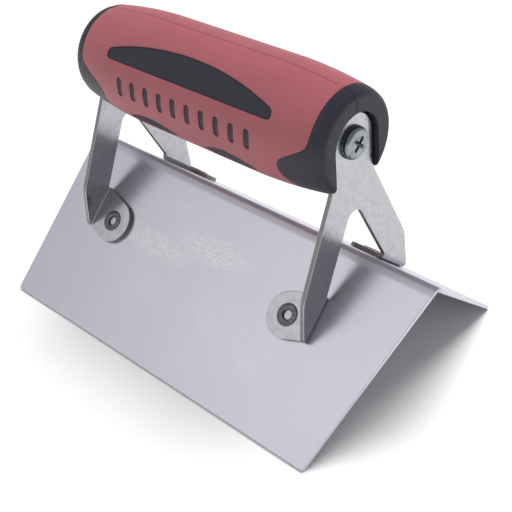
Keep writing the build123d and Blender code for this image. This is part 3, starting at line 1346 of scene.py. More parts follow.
# ---- fasteners ----
class FastenerTree:
    """Geometry Nodes that set copies of one fastener at mirrored places on the tool."""

    NUMBERS = {
        "Centre X": 0.0,
        "Reach": 0.04,
        "Side Offset": 0.0,
        "Height": 0.0,
        "Side Tilt": 0.0,
        "End Tilt": 0.0,
    }

    def __init__(self) -> None:
        """Builds the tree: points, one copy on each, a random spin, real mesh and its finish."""
        self.tree = bpy.data.node_groups.new("mirrored fasteners", "GeometryNodeTree")
        face = self.tree.interface
        face.new_socket("Geometry", in_out="OUTPUT", socket_type="NodeSocketGeometry")
        face.new_socket("Fastener", in_out="INPUT", socket_type="NodeSocketGeometry")
        for name, value in self.NUMBERS.items():
            face.new_socket(name, in_out="INPUT", socket_type="NodeSocketFloat").default_value = value
        for name, value in (("Count", 2), ("Seed", 0)):
            face.new_socket(name, in_out="INPUT", socket_type="NodeSocketInt").default_value = value
        face.new_socket("Finish", in_out="INPUT", socket_type="NodeSocketMaterial")
        self.source = self.tree.nodes.new("NodeGroupInput")
        self.wire()

    def node(self, kind: str, **settings: object) -> Node:
        """Adds a node.

        Args:
            kind: its type.
            settings: its own options.

        Returns:
            The node.
        """
        made = self.tree.nodes.new(kind)
        for name, value in settings.items():
            setattr(made, name, value)
        return made

    def fed(self, node: Node, values: Sequence[object]) -> NodeSocket:
        """Fills a node's inputs in order.

        Args:
            node: the node.
            values: sockets or numbers.

        Returns:
            The node's first output.
        """
        for socket, value in zip(node.inputs, values):
            feed(self.tree, socket, value)
        return node.outputs[0]

    def maths(self, operation: str, *values: object) -> NodeSocket:
        """Adds a Math node that works on sockets or numbers, and gives its result."""
        return self.fed(self.node("ShaderNodeMath", operation=operation), values)

    def triple(self, x: object, y: object, z: object) -> NodeSocket:
        """Joins three sockets or numbers into a vector."""
        return self.fed(self.node("ShaderNodeCombineXYZ"), (x, y, z))

    def way(self, number: NodeSocket) -> NodeSocket:
        """Turns 0 into -1 and leaves 1 as it is."""
        return self.maths("SUBTRACT", self.maths("MULTIPLY", number, 2.0), 1.0)

    def wire(self) -> None:
        """Links the whole tree."""
        link = self.tree.links.new
        given = self.source.outputs
        index = self.node("GeometryNodeInputIndex").outputs["Index"]
        end = self.way(self.maths("MODULO", index, 2.0))
        side = self.way(self.maths("FLOOR", self.maths("DIVIDE", index, 2.0)))
        x = self.maths("ADD", given["Centre X"], self.maths("MULTIPLY", end, given["Reach"]))
        place = self.triple(x, self.maths("MULTIPLY", side, given["Side Offset"]), given["Height"])
        side_tilt = self.maths("MULTIPLY", side, given["Side Tilt"])
        tilt = self.triple(side_tilt, self.maths("MULTIPLY", end, given["End Tilt"]), 0.0)
        points = self.node("GeometryNodePoints")
        link(given["Count"], points.inputs["Count"])
        link(place, points.inputs["Position"])
        copies = self.node("GeometryNodeInstanceOnPoints")
        link(points.outputs[0], copies.inputs["Points"])
        link(given["Fastener"], copies.inputs["Instance"])
        link(tilt, copies.inputs["Rotation"])
        spin = self.node("FunctionNodeRandomValue", data_type="FLOAT")
        spin_low, spin_high = [socket for socket in spin.inputs if socket.type == "VALUE"][:2]
        spin_low.default_value, spin_high.default_value = 0.0, math.tau
        link(given["Seed"], spin.inputs["Seed"])
        angle = next(socket for socket in spin.outputs if socket.type == "VALUE")
        turned = self.node("GeometryNodeRotateInstances")
        turned.inputs["Local Space"].default_value = True
        link(copies.outputs[0], turned.inputs["Instances"])
        link(self.triple(0.0, 0.0, angle), turned.inputs["Rotation"])
        solid = self.node("GeometryNodeRealizeInstances")
        link(turned.outputs[0], solid.inputs[0])
        painted = self.node("GeometryNodeSetMaterial")
        link(solid.outputs[0], painted.inputs["Geometry"])
        link(given["Finish"], painted.inputs["Material"])
        link(painted.outputs[0], self.node("NodeGroupOutput").inputs[0])

    def spread(self, thing: Object, material: Material, **values: float) -> Object:
        """Replaces one fastener with copies of it at all its places.

        Args:
            thing: the fastener, standing on the origin and pointing up.
            material: its finish.
            values: the tree's inputs by name; an underscore stands for a space.

        Returns:
            The same object, as a plain mesh.
        """
        modifier = thing.modifiers.new("copies", "NODES")
        modifier.node_group = self.tree
        items = self.tree.interface.items_tree
        sockets = {item.name: item.identifier for item in items if item.in_out == "INPUT"}
        for name, value in values.items():
            modifier[sockets[name.replace("_", " ")]] = value
        modifier[sockets["Finish"]] = material
        return applied(thing)


@dataclass
class Rivets:
    """The four hollow rivets: a flush head inside and a rolled ring over each tab.

    The ring stands up in a lip round its hole and has a shallow groove along its middle; their
    widths are shares of the ring's own half width. The floor of the hole is left bare.
    """

    blade: Blade
    bracket: Bracket
    shank: float = 2.2 * MM
    ring: float = 3.65 * MM
    ring_height: float = 0.35 * MM
    hole: float = 1.6 * MM
    hole_depth: float = 0.8 * MM
    lip: float = 0.042 * MM
    lip_width: float = 0.35
    groove: float = 0.07 * MM
    groove_width: float = 0.16
    sink: float = 3.4 * MM
    sink_depth: float = 0.9 * MM
    sink_corner: float = 0.1 * MM
    edge: float = 0.06 * MM
    play: float = 0.02 * MM
    floor_round: tuple[Pair, ...] = (
        (0.02 * MM, 0.25 * MM),
        (0.12 * MM, 0.08 * MM),
        (0.16 * MM, 0.0),
        (0.24 * MM, 0.0),
    )
    floor_crown: float = 0.05 * MM
    ring_steps: int = 26
    steps: int = 56
    finish: PlainMetal = PlainMetal(
        "dark rivet steel",
        shade=(0.15, 0.15, 0.18),
        cloud_shade=(0.11, 0.11, 0.135),
        roughness=0.3,
        marked_shade=(0.50, 0.49, 0.47),
        cloud_size=1.1 * MM,
    )

    def build(self) -> Object:
        """Turns one rivet, standing on the leg's outer face.

        Returns:
            The rivet.
        """
        base = self.bracket.plate
        floor = base + self.ring_height - self.hole_depth
        under = -self.blade.sheet
        width = (self.ring - self.hole) / 2
        middle = self.hole + width
        rolled = arc(middle, base, width, 0, 180, self.ring_steps)
        rolled[:, 1] = base + (rolled[:, 1] - base) * self.ring_height / width
        from_hole = (rolled[:, 0] - self.hole) / (width * self.lip_width)
        from_middle = (rolled[:, 0] - middle) / (width * self.groove_width)
        rolled[:, 1] += self.lip * np.exp(-(from_hole**2)) - self.groove * np.exp(-(from_middle**2))
        shank = [
            (0, under),
            (self.sink - self.sink_corner, under),
            (self.sink, under + self.edge),
            (self.shank, under + self.sink_depth),
            (self.shank, base - self.play),
            (self.ring - self.edge, base - self.play),
        ]
        *bore, rim = [(self.hole - inward, floor + up) for inward, up in self.floor_round]
        bare = [rim, (self.hole * 0.4, floor + self.floor_crown * 0.6), (0, floor + self.floor_crown)]
        profile = np.array([*shank, *rolled.tolist(), *bore, *bare])
        marks = [float(index >= len(profile) - len(bare)) for index in range(len(profile))]
        return lathe("hollow_rivets", profile, self.steps, marks)

    def dress(self, thing: Object, tree: FastenerTree) -> Object:
        """Sets the four rivets and gives them their finish.

        Args:
            thing: one rivet.
            tree: the nodes that copy it.

        Returns:
            All four rivets.
        """
        material = self.finish.material()
        low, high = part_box("front_left_rivet")
        front = (low.x + high.x) / 2
        y, z = self.bracket.blank_point(self.bracket.rivet_down, 0.0)
        spread = tree.spread(
            thing,
            material,
            Centre_X=self.bracket.middle,
            Reach=front - self.bracket.middle,
            Side_Offset=y,
            Height=z,
            Side_Tilt=-self.blade.half_turn,
            Count=4,
            Seed=3,
        )
        names = [f"{end.name}_{side.name}_rivet".lower() for end in End for side in Side]
        return dressed(spread, material, Slot.RIVET, names)


@dataclass
class HandleScrews:
    """The two pan-head screws with a cross recess that clamp the handle.

    The head's wall and shoulder are painted darker than its crown, as painted shade for their dark
    reflection and shadow. The cross narrows as it goes down, by the shares in cross_taper, each at a
    share of its depth.
    """

    bracket: Bracket
    shank: float = 2.4 * MM
    length: float = 26 * MM
    head: float = 5.1 * MM
    head_height: float = 2.4 * MM
    head_draft: float = 0.1 * MM
    foot_round: float = 0.25 * MM
    wall: float = 0.75 * MM
    shoulder_fullness: float = 0.95
    shoulder_turn: float = 66.0
    # How far below the crown's top the painted shade on the head fades out.
    painted_shade_below: float = 0.35 * MM
    steps: int = 72
    cross_length: float = 5.3 * MM
    cross_width: float = 1.15 * MM
    cross_depth: float = 1.9 * MM
    cross_over: float = 0.5 * MM
    cross_taper: tuple[Pair, ...] = ((0.55, 0.82), (1.0, 0.5))
    cross_mouth: float = 1.06
    cross_tip_round: float = 0.28 * MM
    cross_root_round: float = 0.4 * MM
    cross_step: float = math.radians(22)
    finish: PlainMetal = PlainMetal(
        "zinc screw",
        shade=(0.30, 0.33, 0.36),
        cloud_shade=(0.22, 0.245, 0.27),
        roughness=0.26,
        # marked_shade is painted shade: it darkens the head's underside, wall and shoulder for their dark
        # reflection and shadow.
        marked_shade=(0.15, 0.165, 0.185),
        cloud_size=1.6 * MM,
    )

    def profile(self) -> np.ndarray:
        """Draws half of the screw's section.

        Returns:
            The section's points, from the tip of the shank, below 0, to the crown of the head.
        """
        point = self.shank * 0.5
        tip = [(0, -self.length), (point, -self.length), (self.shank, -self.length + point)]
        sole = self.head - self.foot_round
        under = [(self.shank, 0.0), (sole, 0.0)]
        foot = arc(sole, self.foot_round, self.foot_round, -90, 0, 3)
        round_over = (self.head_height - self.wall) * self.shoulder_fullness
        middle = self.head - self.head_draft - round_over
        shoulder = arc(middle, self.wall, round_over, 0, self.shoulder_turn, 8)
        edge_r, edge_z = shoulder[-1]
        crown_r = np.linspace(edge_r, 0, 9)[1:]
        crown_z = edge_z + (self.head_height - edge_z) * (1 - (crown_r / edge_r) ** 2)
        return np.vstack((tip, under, foot[1:], shoulder, np.stack((crown_r, crown_z), 1)))

    def cutter(self) -> Object:
        """Makes the tapered cross that is cut out of the head.

        Returns:
            The cutter.
        """
        half, width = self.cross_length / 2, self.cross_width / 2
        tip, root = self.cross_tip_round, self.cross_root_round
        quarter = [(half, -width, tip), (half, width, tip), (width, width, root)]
        cross = [
            (x * math.cos(turn) - y * math.sin(turn), x * math.sin(turn) + y * math.cos(turn), fillet)
            for turn in (0, math.pi / 2, math.pi, -math.pi / 2)
            for x, y, fillet in quarter
        ]
        loop = rounded_loop(cross, self.cross_step)
        levels = [(self.head_height + self.cross_over, self.cross_mouth)]
        levels += [(self.head_height - self.cross_depth * down, share) for down, share in self.cross_taper]
        rings = [np.column_stack((loop * share, np.full(len(loop), height))) for height, share in levels]
        quilt = Quilt()
        quilt.strip(rings)
        for ring in (rings[0], rings[-1]):
            places, triangles = filled([ring[:, :2]])
            quilt.add(np.column_stack((places, np.full(len(places), ring[0, 2]))), triangles)
        return quilt.sew("cross_cutter")

    def build(self) -> Object:
        """Turns one screw and cuts its cross.

        Returns:
            The screw, pointing up, with its head's sole at 0.
        """
        profile = self.profile()
        # The marks carry painted shade: full on the head's underside and wall, fading over the shoulder to
        # none near the crown.
        crown = self.head_height - self.painted_shade_below
        fade = np.clip((crown - profile[:, 1]) / (crown - self.wall), 0, 1)
        marks = np.where((profile[:, 1] >= 0) & (profile[:, 0] > self.shank), fade, 0)
        return carved(lathe("pan_head_screws", profile, self.steps, marks), [self.cutter()])

    def dress(self, thing: Object, tree: FastenerTree) -> Object:
        """Sets both screws and gives them their finish.

        Args:
            thing: one screw.
            tree: the nodes that copy it.

        Returns:
            Both screws.
        """
        material = self.finish.material()
        spread = tree.spread(
            thing,
            material,
            Centre_X=self.bracket.middle,
            Reach=self.bracket.outer_x - self.bracket.middle,
            Height=self.bracket.axis_z,
            End_Tilt=math.pi / 2,
            Count=2,
            Seed=11,
        )
        return dressed(spread, material, Slot.SCREW, [f"{end.name.lower()}_screw" for end in End])


# ---- the handle ----
@dataclass
class Barrel:
    """The handle's outer shape, drawn flat: distance along its profile, and round it.

    The second flat coordinate is the angle from the top times the barrel's radius, so that flat
    lengths are true lengths on the straight part. It is positive on the right, near side.
    """

    middle: float
    axis_z: float
    half: float
    radius: float
    taper: float = 2.8 * MM
    straight: float = 24 * MM
    end_round: float = 2.2 * MM
    end_lift: float = 0.4 * MM
    curve_steps: int = 60
    face_shares: tuple[float, ...] = (0.96, 0.88, 0.75, 0.5, 0.25, 0.0)
    seam_depth: float = 0.22 * MM
    seam_half: float = 0.24 * MM
    lengths: np.ndarray = field(init=False)
    profile: np.ndarray = field(init=False)
    normals: np.ndarray = field(init=False)

    def __post_init__(self) -> None:
        """Draws the profile from the middle to the pole of the end face, in small steps."""
        run, fall, end_radius = self.half - self.straight, self.taper, self.radius - self.taper
        sweep = (run**2 + fall**2) / (2 * fall)
        final = math.degrees(math.asin(run / sweep))
        curve = arc(self.straight, self.radius - sweep, sweep, 90, 90 - final, self.curve_steps)
        corners = [(0.0, self.radius), (self.straight, self.radius), *curve[1:-1].tolist()]
        keep = [place for place in corners if place[0] < self.half - self.end_round * 1.2]
        reach, slope = math.cos(math.radians(final)), math.sin(math.radians(final))
        shoulder_x = self.half - self.end_round
        shoulder_r = end_radius - self.end_round * (1 - (1 - reach) * 0.5) + slope * self.end_lift
        round_over = arc(shoulder_x, shoulder_r, self.end_round, 88 - final * 0.9, 0, 14)
        face = [(self.half, shoulder_r * share) for share in self.face_shares]
        path = np.array([*keep, *round_over.tolist(), *face])
        steps = np.linalg.norm(np.diff(path, axis=0), axis=1)
        self.lengths = np.concatenate(([0.0], np.cumsum(steps)))
        self.profile = path
        along = np.gradient(path, self.lengths, axis=0)
        along /= np.linalg.norm(along, axis=1, keepdims=True)
        self.normals = np.abs(along[:, ::-1])

    @property
    def around(self) -> float:
        """Half of the way round the barrel, in flat units."""
        return math.pi * self.radius

    def angle_to_flat(self, degrees: float) -> float:
        """Gives the flat place of an angle from the top."""
        return math.radians(degrees) * self.radius

    def along_for(self, distance_from_end: np.ndarray) -> np.ndarray:
        """Finds where along the flat profile a place lies so far inside the end face.

        Args:
            distance_from_end: how far inside.

        Returns:
            The flat length from the handle's middle.
        """
        x = self.half - distance_from_end
        side = self.profile[:, 0] < self.half - WELD
        return np.interp(x, self.profile[side, 0], self.lengths[side])

    def form(self, places: np.ndarray, depth: np.ndarray) -> np.ndarray:
        """Wraps flat points round the barrel.

        Args:
            places: flat points.
            depth: how far each lies under the outer surface.

        Returns:
            The points in space.
        """
        along, angle = np.abs(places[:, 0]), places[:, 1] / self.radius
        x = np.interp(along, self.lengths, self.profile[:, 0])
        r = np.interp(along, self.lengths, self.profile[:, 1])
        nx = np.interp(along, self.lengths, self.normals[:, 0])
        nr = np.interp(along, self.lengths, self.normals[:, 1])
        groove = np.clip(1 - np.abs(places[:, 1]) / self.seam_half, 0, 1) * self.seam_depth
        deep = depth + np.where(depth < self.seam_depth, groove, 0)
        x = (x - nx * deep) * np.sign(places[:, 0])
        r = np.maximum(r - nr * deep, 0)
        return np.stack((self.middle + x, -r * np.sin(angle), self.axis_z + r * np.cos(angle)), 1)

    def bottom_points(self, line: np.ndarray) -> list[np.ndarray]:
        """Places points on both of the flat sheet's long edges, which meet along the bottom.

        Args:
            line: their distances from the middle.

        Returns:
            The flat points, one edge after the other.
        """
        return [np.stack((line, np.full_like(line, y)), 1) for y in (-self.around, self.around)]


@dataclass
class GripLayout:
    """Where the red skin ends and where the charcoal inlays show through it.

    Each point of the border is an angle from the top in degrees, and how far inside the end face
    the skin stops there in millimetres.
    """

    barrel: Barrel
    skin: float = 2.0 * MM
    recess: float = 0.3 * MM
    lip: float = 0.14 * MM
    fit: float = 0.03 * MM
    border: tuple[Pair, ...] = (
        (0, 4.5),
        (40, 4.5),
        (66, 4.7),
        (75, 5.4),
        (81, 7.4),
        (86, 9.8),
        (91, 12.4),
        (97, 14.6),
        (104, 15.4),
        (112, 15.2),
        (122, 13.9),
        (134, 12.0),
        (150, 10.0),
        (180, 9.0),
    )
    border_steps: int = 240
    leaf_half: float = 35.5 * MM
    leaf_height: float = 9.3 * MM
    leaf_shoulder: float = 3.4 * MM
    leaf_corner: float = 1.5 * MM
    leaf_low_angle: float = 62.0
    bar_count: int = 10
    bar_pitch: float = 6.2 * MM
    bar_half: float = 1.1 * MM
    bar_fullness: float = 0.9
    bar_height: float = 6.4 * MM
    bar_angle: float = 86.5
    strake_half: float = 10.75 * MM
    strake_end: float = 0.5 * MM
    strake_corner: float = 0.3 * MM
    strake_rise: float = 3.3 * MM
    strake_offset: float = 17.2 * MM
    strake_angle: float = 125.0
    spacing: float = 0.7 * MM

    def border_line(self, end: End, gap: float = 0.0) -> np.ndarray:
        """Draws the skin's border at one end, from one side of the bottom round to the other.

        Args:
            end: which end.
            gap: how far the line is moved towards the end face.

        Returns:
            Flat points; the angle grows along the line at the front end, and falls at the rear.
        """
        seam = math.degrees(self.barrel.seam_half / self.barrel.radius)
        angles = np.sort([*np.linspace(-180, 180, self.border_steps + 1), -seam, seam])
        knots = np.array(self.border)
        from_end = smooth_curve(knots[:, 0], knots[:, 1] * MM, np.abs(angles))
        along = self.barrel.along_for(from_end)
        line = np.stack((along, np.radians(angles) * self.barrel.radius), 1)
        if gap:
            line = shifted(line, -gap, closed=False)
            line[0, 1], line[-1, 1] = -self.barrel.around, self.barrel.around
        return line if end is End.FRONT else (line * (-1, 1))[::-1]

    def region(self, gap: float) -> np.ndarray:
        """Draws the whole flat outline between the two borders, each moved towards its end face."""
        return np.vstack([self.border_line(end, gap) for end in End])

    def inlays(self) -> list[np.ndarray]:
        """Draws every inlay's flat outline, on both sides of the handle.

        Returns:
            The outlines, each running clockwise.
        """
        leaf = band_loop(
            self.leaf_half,
            self.leaf_corner,
            bowed(self.leaf_shoulder, self.leaf_height - self.leaf_shoulder, self.leaf_half),
            np.zeros_like,
            self.spacing,
        )
        bar = band_loop(
            self.bar_half,
            self.bar_half * self.bar_fullness,
            bowed(self.bar_height / 2, 0, self.bar_half),
            bowed(-self.bar_height / 2, 0, self.bar_half),
            self.spacing,
        )
        strake = band_loop(
            self.strake_half,
            self.strake_corner,
            bowed(self.strake_end, self.strake_rise, self.strake_half),
            bowed(-self.strake_end, -self.strake_rise, self.strake_half),
            self.spacing,
        )
        flat = self.barrel.angle_to_flat
        bars = [(index - (self.bar_count - 1) / 2) * self.bar_pitch for index in range(self.bar_count)]
        placed = [leaf * (1, -1) + (0, flat(self.leaf_low_angle))]
        placed += [bar + (x, flat(self.bar_angle)) for x in bars]
        placed += [strake + (x, flat(self.strake_angle)) for x in (-self.strake_offset, self.strake_offset)]
        placed += [loop * (1, -1) for loop in placed]
        return [clockwise(densified(loop, self.spacing)) for loop in placed]


def bowed(end: float, rise: float, half: float) -> Curve:
    """Makes a shallow bow for a band's edge.

    Args:
        end: its height at both ends.
        rise: how much higher its middle is.
        half: half of its length.

    Returns:
        The height as a function of the distance from the middle.
    """
    return lambda u: end + rise * (1 - (u / half) ** 2)


def clockwise(loop: np.ndarray) -> np.ndarray:
    """Makes a closed outline run clockwise.

    Args:
        loop: the outline.

    Returns:
        The same outline, turned round if it ran the other way.
    """
    ends = np.roll(loop, -1, axis=0)
    area = np.sum(loop[:, 0] * ends[:, 1] - ends[:, 0] * loop[:, 1])
    return loop[::-1] if area > 0 else loop


def densified(loop: np.ndarray, spacing: float) -> np.ndarray:
    """Adds points along a closed outline's long stretches.

    Args:
        loop: the outline.
        spacing: the largest distance between two points.

    Returns:
        The outline with its old points and the new ones.
    """
    rows = []
    for here, there in zip(loop, np.roll(loop, -1, axis=0)):
        count = max(1, math.ceil(float(np.linalg.norm(there - here)) / spacing))
        rows += [here + (there - here) * step / count for step in range(count)]
    return np.array(rows)


def smooth_curve(knots: np.ndarray, values: np.ndarray, wanted: np.ndarray) -> np.ndarray:
    """Runs a smooth curve through given values, without overshooting them.

    Args:
        knots: where the values are given, in rising order.
        values: the values.
        wanted: where the curve is read.

    Returns:
        The curve's values there.
    """
    steps = np.diff(knots)
    slopes = np.diff(values) / steps
    product, total = slopes[:-1] * slopes[1:], slopes[:-1] + slopes[1:]
    inner = np.where(product > 0, 2 * product / (total + 1e-12), 0)
    tangents = np.concatenate(([0.0], inner, [0.0]))
    index = np.clip(np.searchsorted(knots, wanted, side="right") - 1, 0, len(steps) - 1)
    step = steps[index]
    t = (wanted - knots[index]) / step
    first, second = values[index], values[index + 1]
    return (
        (2 * t**3 - 3 * t**2 + 1) * first
        + (t**3 - 2 * t**2 + t) * step * tangents[index]
        + (3 * t**2 - 2 * t**3) * second
        + (t**3 - t**2) * step * tangents[index + 1]
    )


@dataclass
class GripSkin:
    """The soft red skin, a shell with rounded lips round every inlay and at both borders.

    Its inner face lies a little above the core, by play. The points of its faces keep clear of the
    outlines by room and of the seam by seam_room, as shares of their spacing.
    """

    layout: GripLayout
    grid: float = 1.0 * MM
    inner_grid: float = 2.6 * MM
    play: float = 0.02 * MM
    room: float = 0.45
    seam_room: float = 0.3
    seam_grid: float = 1.5 * MM
    seam_stop: float = 6 * MM
    finish: MouldedPolymer = MouldedPolymer(
        "soft red skin",
        shade=(0.365, 0.100, 0.117),
        cloud_shade=(0.345, 0.092, 0.108),
        speck_shade=(0.46, 0.17, 0.18),
        roughness=0.62,
        grain_size=0.35 * MM,
        grain_depth=0.012 * MM,
        sheen=0.12,
    )

    def build(self) -> Object:
        """Makes the shell: outer sheet, rounded lips, walls and inner sheet.

        Returns:
            The shell.
        """
        layout, barrel, form = self.layout, self.layout.barrel, self.layout.barrel.form
        holes = layout.inlays()
        quilt = Quilt()
        seam, thickness = barrel.seam_half, layout.skin - self.play
        length = barrel.along_for(np.array(self.seam_stop))
        line = np.arange(-length, length, self.seam_grid)
        seam_points = [np.stack((line, np.full_like(line, y)), 1) for y in (-seam, 0.0, seam)]
        for depth, shift, spacing in ((0.0, layout.lip, self.grid), (thickness, 0.0, self.inner_grid)):
            loops = [layout.region(-shift), *(shifted(hole, shift) for hole in holes)]
            points = grid_points(loops, spacing, spacing, spacing * self.room)
            points = points[np.abs(points[:, 1]) > seam + spacing * self.seam_room]
            edge = np.arange(-length + spacing, length - spacing, spacing)
            edge = edge[np.abs(edge) < loops[0][0, 0] - spacing / 2]
            sides = barrel.bottom_points(edge)
            places, triangles = filled(loops, np.vstack([points, *sides, *seam_points]))
            quilt.add(formed(form, places, depth), triangles)
        borders = [(layout.border_line(end), False) for end in End]
        for edge, closed in [*borders, *((hole, True) for hole in holes)]:
            rings = rim_rings(edge, closed, layout.lip, thickness, 0.0)
            quilt.strip([formed(form, places, depth) for places, depth in rings], closed)
        return even_shading(quilt.sew("grip_skin_shell"))

    def dress(self, thing: Object) -> Object:
        """Gives the skin its soft finish."""
        return dressed(thing, self.finish.material(), Slot.SKIN, ["grip_skin"])


@dataclass
class HandleCore:
    """The hard charcoal core: end caps, inlay pads and the recess for each tongue.

    The points under the skin and on the pads keep clear of the outlines by room and pad_room. The
    cap's rows run even from the border to cap_turn inside the end face, then follow the profile.
    """

    layout: GripLayout
    bracket: Bracket
    recess_clearance: float = 0.7 * MM
    recess_depth: float = 3.4 * MM
    bore: float = 2.45 * MM
    bore_depth: float = 29 * MM
    bore_over: float = 1 * MM
    bore_steps: int = 32
    recess_over: float = 5 * MM
    recess_steps: int = 40
    cap_rows: int = 10
    cap_turn: float = 3.9 * MM
    cap_step: float = 0.2 * MM
    grid: float = 2.6 * MM
    room: float = 0.45
    bottom_stop: float = 10 * MM
    pad_grid: float = 1.2 * MM
    pad_room: float = 0.55 * MM
    finish: MouldedPolymer = MouldedPolymer(
        "charcoal core",
        shade=(0.0195, 0.0198, 0.032),
        cloud_shade=(0.024, 0.0245, 0.038),
        speck_shade=(0.16, 0.16, 0.165),
        roughness=0.50,
        grain_size=0.25 * MM,
        grain_depth=0.008 * MM,
        gloss=0.36,
    )

    def add_caps(self, quilt: Quilt) -> None:
        """Adds both end caps, from the skin's border round the end to its pole.

        Args:
            quilt: the core's patches.
        """
        layout, barrel = self.layout, self.layout.barrel
        start = barrel.along_for(np.array(self.cap_turn))
        tail = barrel.lengths[barrel.lengths > start + self.cap_step]
        for end in End:
            near = layout.border_line(end, layout.fit)
            far = layout.border_line(end, layout.fit + layout.lip)
            toward = end.value
            rings = [(near, layout.skin)]
            for step in range(RIM_STEPS + 1):
                angle = step / RIM_STEPS * math.pi / 2
                share = 1 - math.cos(angle)
                rings.append((near + (far - near) * share, layout.lip * (1 - math.sin(angle))))
            rows = [
                far + np.stack(((start * toward - far[:, 0]) * share, np.zeros(len(far))), 1)
                for share in np.linspace(0, 1, self.cap_rows + 1)[1:]
            ]
            rows += [np.stack((np.full(len(far), along * toward), far[:, 1]), 1) for along in tail]
            rings += [(row, 0.0) for row in rows]
            quilt.strip([formed(barrel.form, places, depth) for places, depth in rings], closed=False)

    def add_pad(self, quilt: Quilt, outline: np.ndarray) -> None:
        """Adds one inlay: its wall, rounded rim and top, a little below the skin's surface.

        Args:
            quilt: the core's patches.
            outline: the inlay's flat outline, running anticlockwise.
        """
        layout, form = self.layout, self.layout.barrel.form
        rings = [(outline, layout.skin)]
        for step in range(RIM_STEPS + 1):
            angle = step / RIM_STEPS * math.pi / 2
            top = shifted(outline, layout.lip * (1 - math.cos(angle)))
            rings.append((top, layout.recess + layout.lip * (1 - math.sin(angle))))
        quilt.strip([formed(form, flat, depth) for flat, depth in rings])
        dots = grid_points([top], self.pad_grid, self.pad_grid, self.pad_room)
        places, triangles = filled([top], dots if len(dots) else None)
        quilt.add(formed(form, places, layout.recess), triangles)

    def build(self) -> Object:
        """Makes the core and cuts the recesses and bores into its ends.

        Returns:
            The core.
        """
        layout, barrel = self.layout, self.layout.barrel
        quilt = Quilt()
        pads = [shifted(loop, -layout.fit) for loop in layout.inlays()]
        loops = [layout.region(layout.fit), *pads]
        points = grid_points(loops, self.grid, self.grid, self.grid * self.room)
        length = barrel.along_for(np.array(self.bottom_stop))
        sides = barrel.bottom_points(np.arange(-length, length, self.grid))
        places, triangles = filled(loops, np.vstack([points, *sides]))
        quilt.add(formed(barrel.form, places, layout.skin), triangles)
        for pad in pads:
            self.add_pad(quilt, pad[::-1])
        self.add_caps(quilt)
        cutters = [make(end) for end in End for make in (self.recess_cutter, self.bore_cutter)]
        return even_shading(carved(quilt.sew("handle_core_body"), cutters))

    def recess_cutter(self, end: End) -> Object:
        """Makes the open-bottomed slot that a bracket's tongue sits in.

        Args:
            end: the end of the handle that it is cut into.

        Returns:
            The cutter.
        """
        barrel = self.layout.barrel
        half = self.bracket.tongue_half + self.recess_clearance
        below = barrel.radius * 2
        top = arc(0, 0, half, 0, 180, self.recess_steps)
        outline = np.vstack((top, [(-half, -below), (half, -below)]))
        return self.prism(outline, barrel.half - self.recess_depth, barrel.half + self.recess_over, end)

    def bore_cutter(self, end: End) -> Object:
        """Makes the screw's bore, which starts in the floor of the recess.

        Args:
            end: the end of the handle that it is cut into.

        Returns:
            The cutter.
        """
        floor = self.layout.barrel.half - self.recess_depth
        ring = circle_loop(0, 0, self.bore, self.bore_steps)
        return self.prism(ring, floor - self.bore_depth, floor + self.bore_over, end)

    def prism(self, outline: np.ndarray, start: float, stop: float, end: End) -> Object:
        """Stretches an outline that stands across the handle into a closed solid.

        Args:
            outline: the outline, as Y and the height over the handle's axis.
            start: how far from the handle's middle the solid starts.
            stop: how far from it the solid stops.
            end: the end of the handle that it lies in.

        Returns:
            The solid.
        """
        places, triangles = filled([outline])
        quilt = Quilt()
        quilt.strip([self.across(outline, x, end) for x in (start, stop)])
        for x in (start, stop):
            quilt.add(self.across(places, x, end), triangles)
        return quilt.sew("cutter")

    def across(self, flat: np.ndarray, x: float, end: End) -> np.ndarray:
        """Stands flat points up across the handle.

        Args:
            flat: the points, as Y and the height over the handle's axis.
            x: how far from the handle's middle they stand.
            end: towards which end.

        Returns:
            The points in space.
        """
        barrel = self.layout.barrel
        column = np.full(len(flat), barrel.middle + x * end.value)
        return np.column_stack((column, flat[:, 0], barrel.axis_z + flat[:, 1]))

    def dress(self, thing: Object) -> Object:
        """Gives the core its hard plastic finish."""
        return dressed(thing, self.finish.material(), Slot.CORE, ["handle_core"])


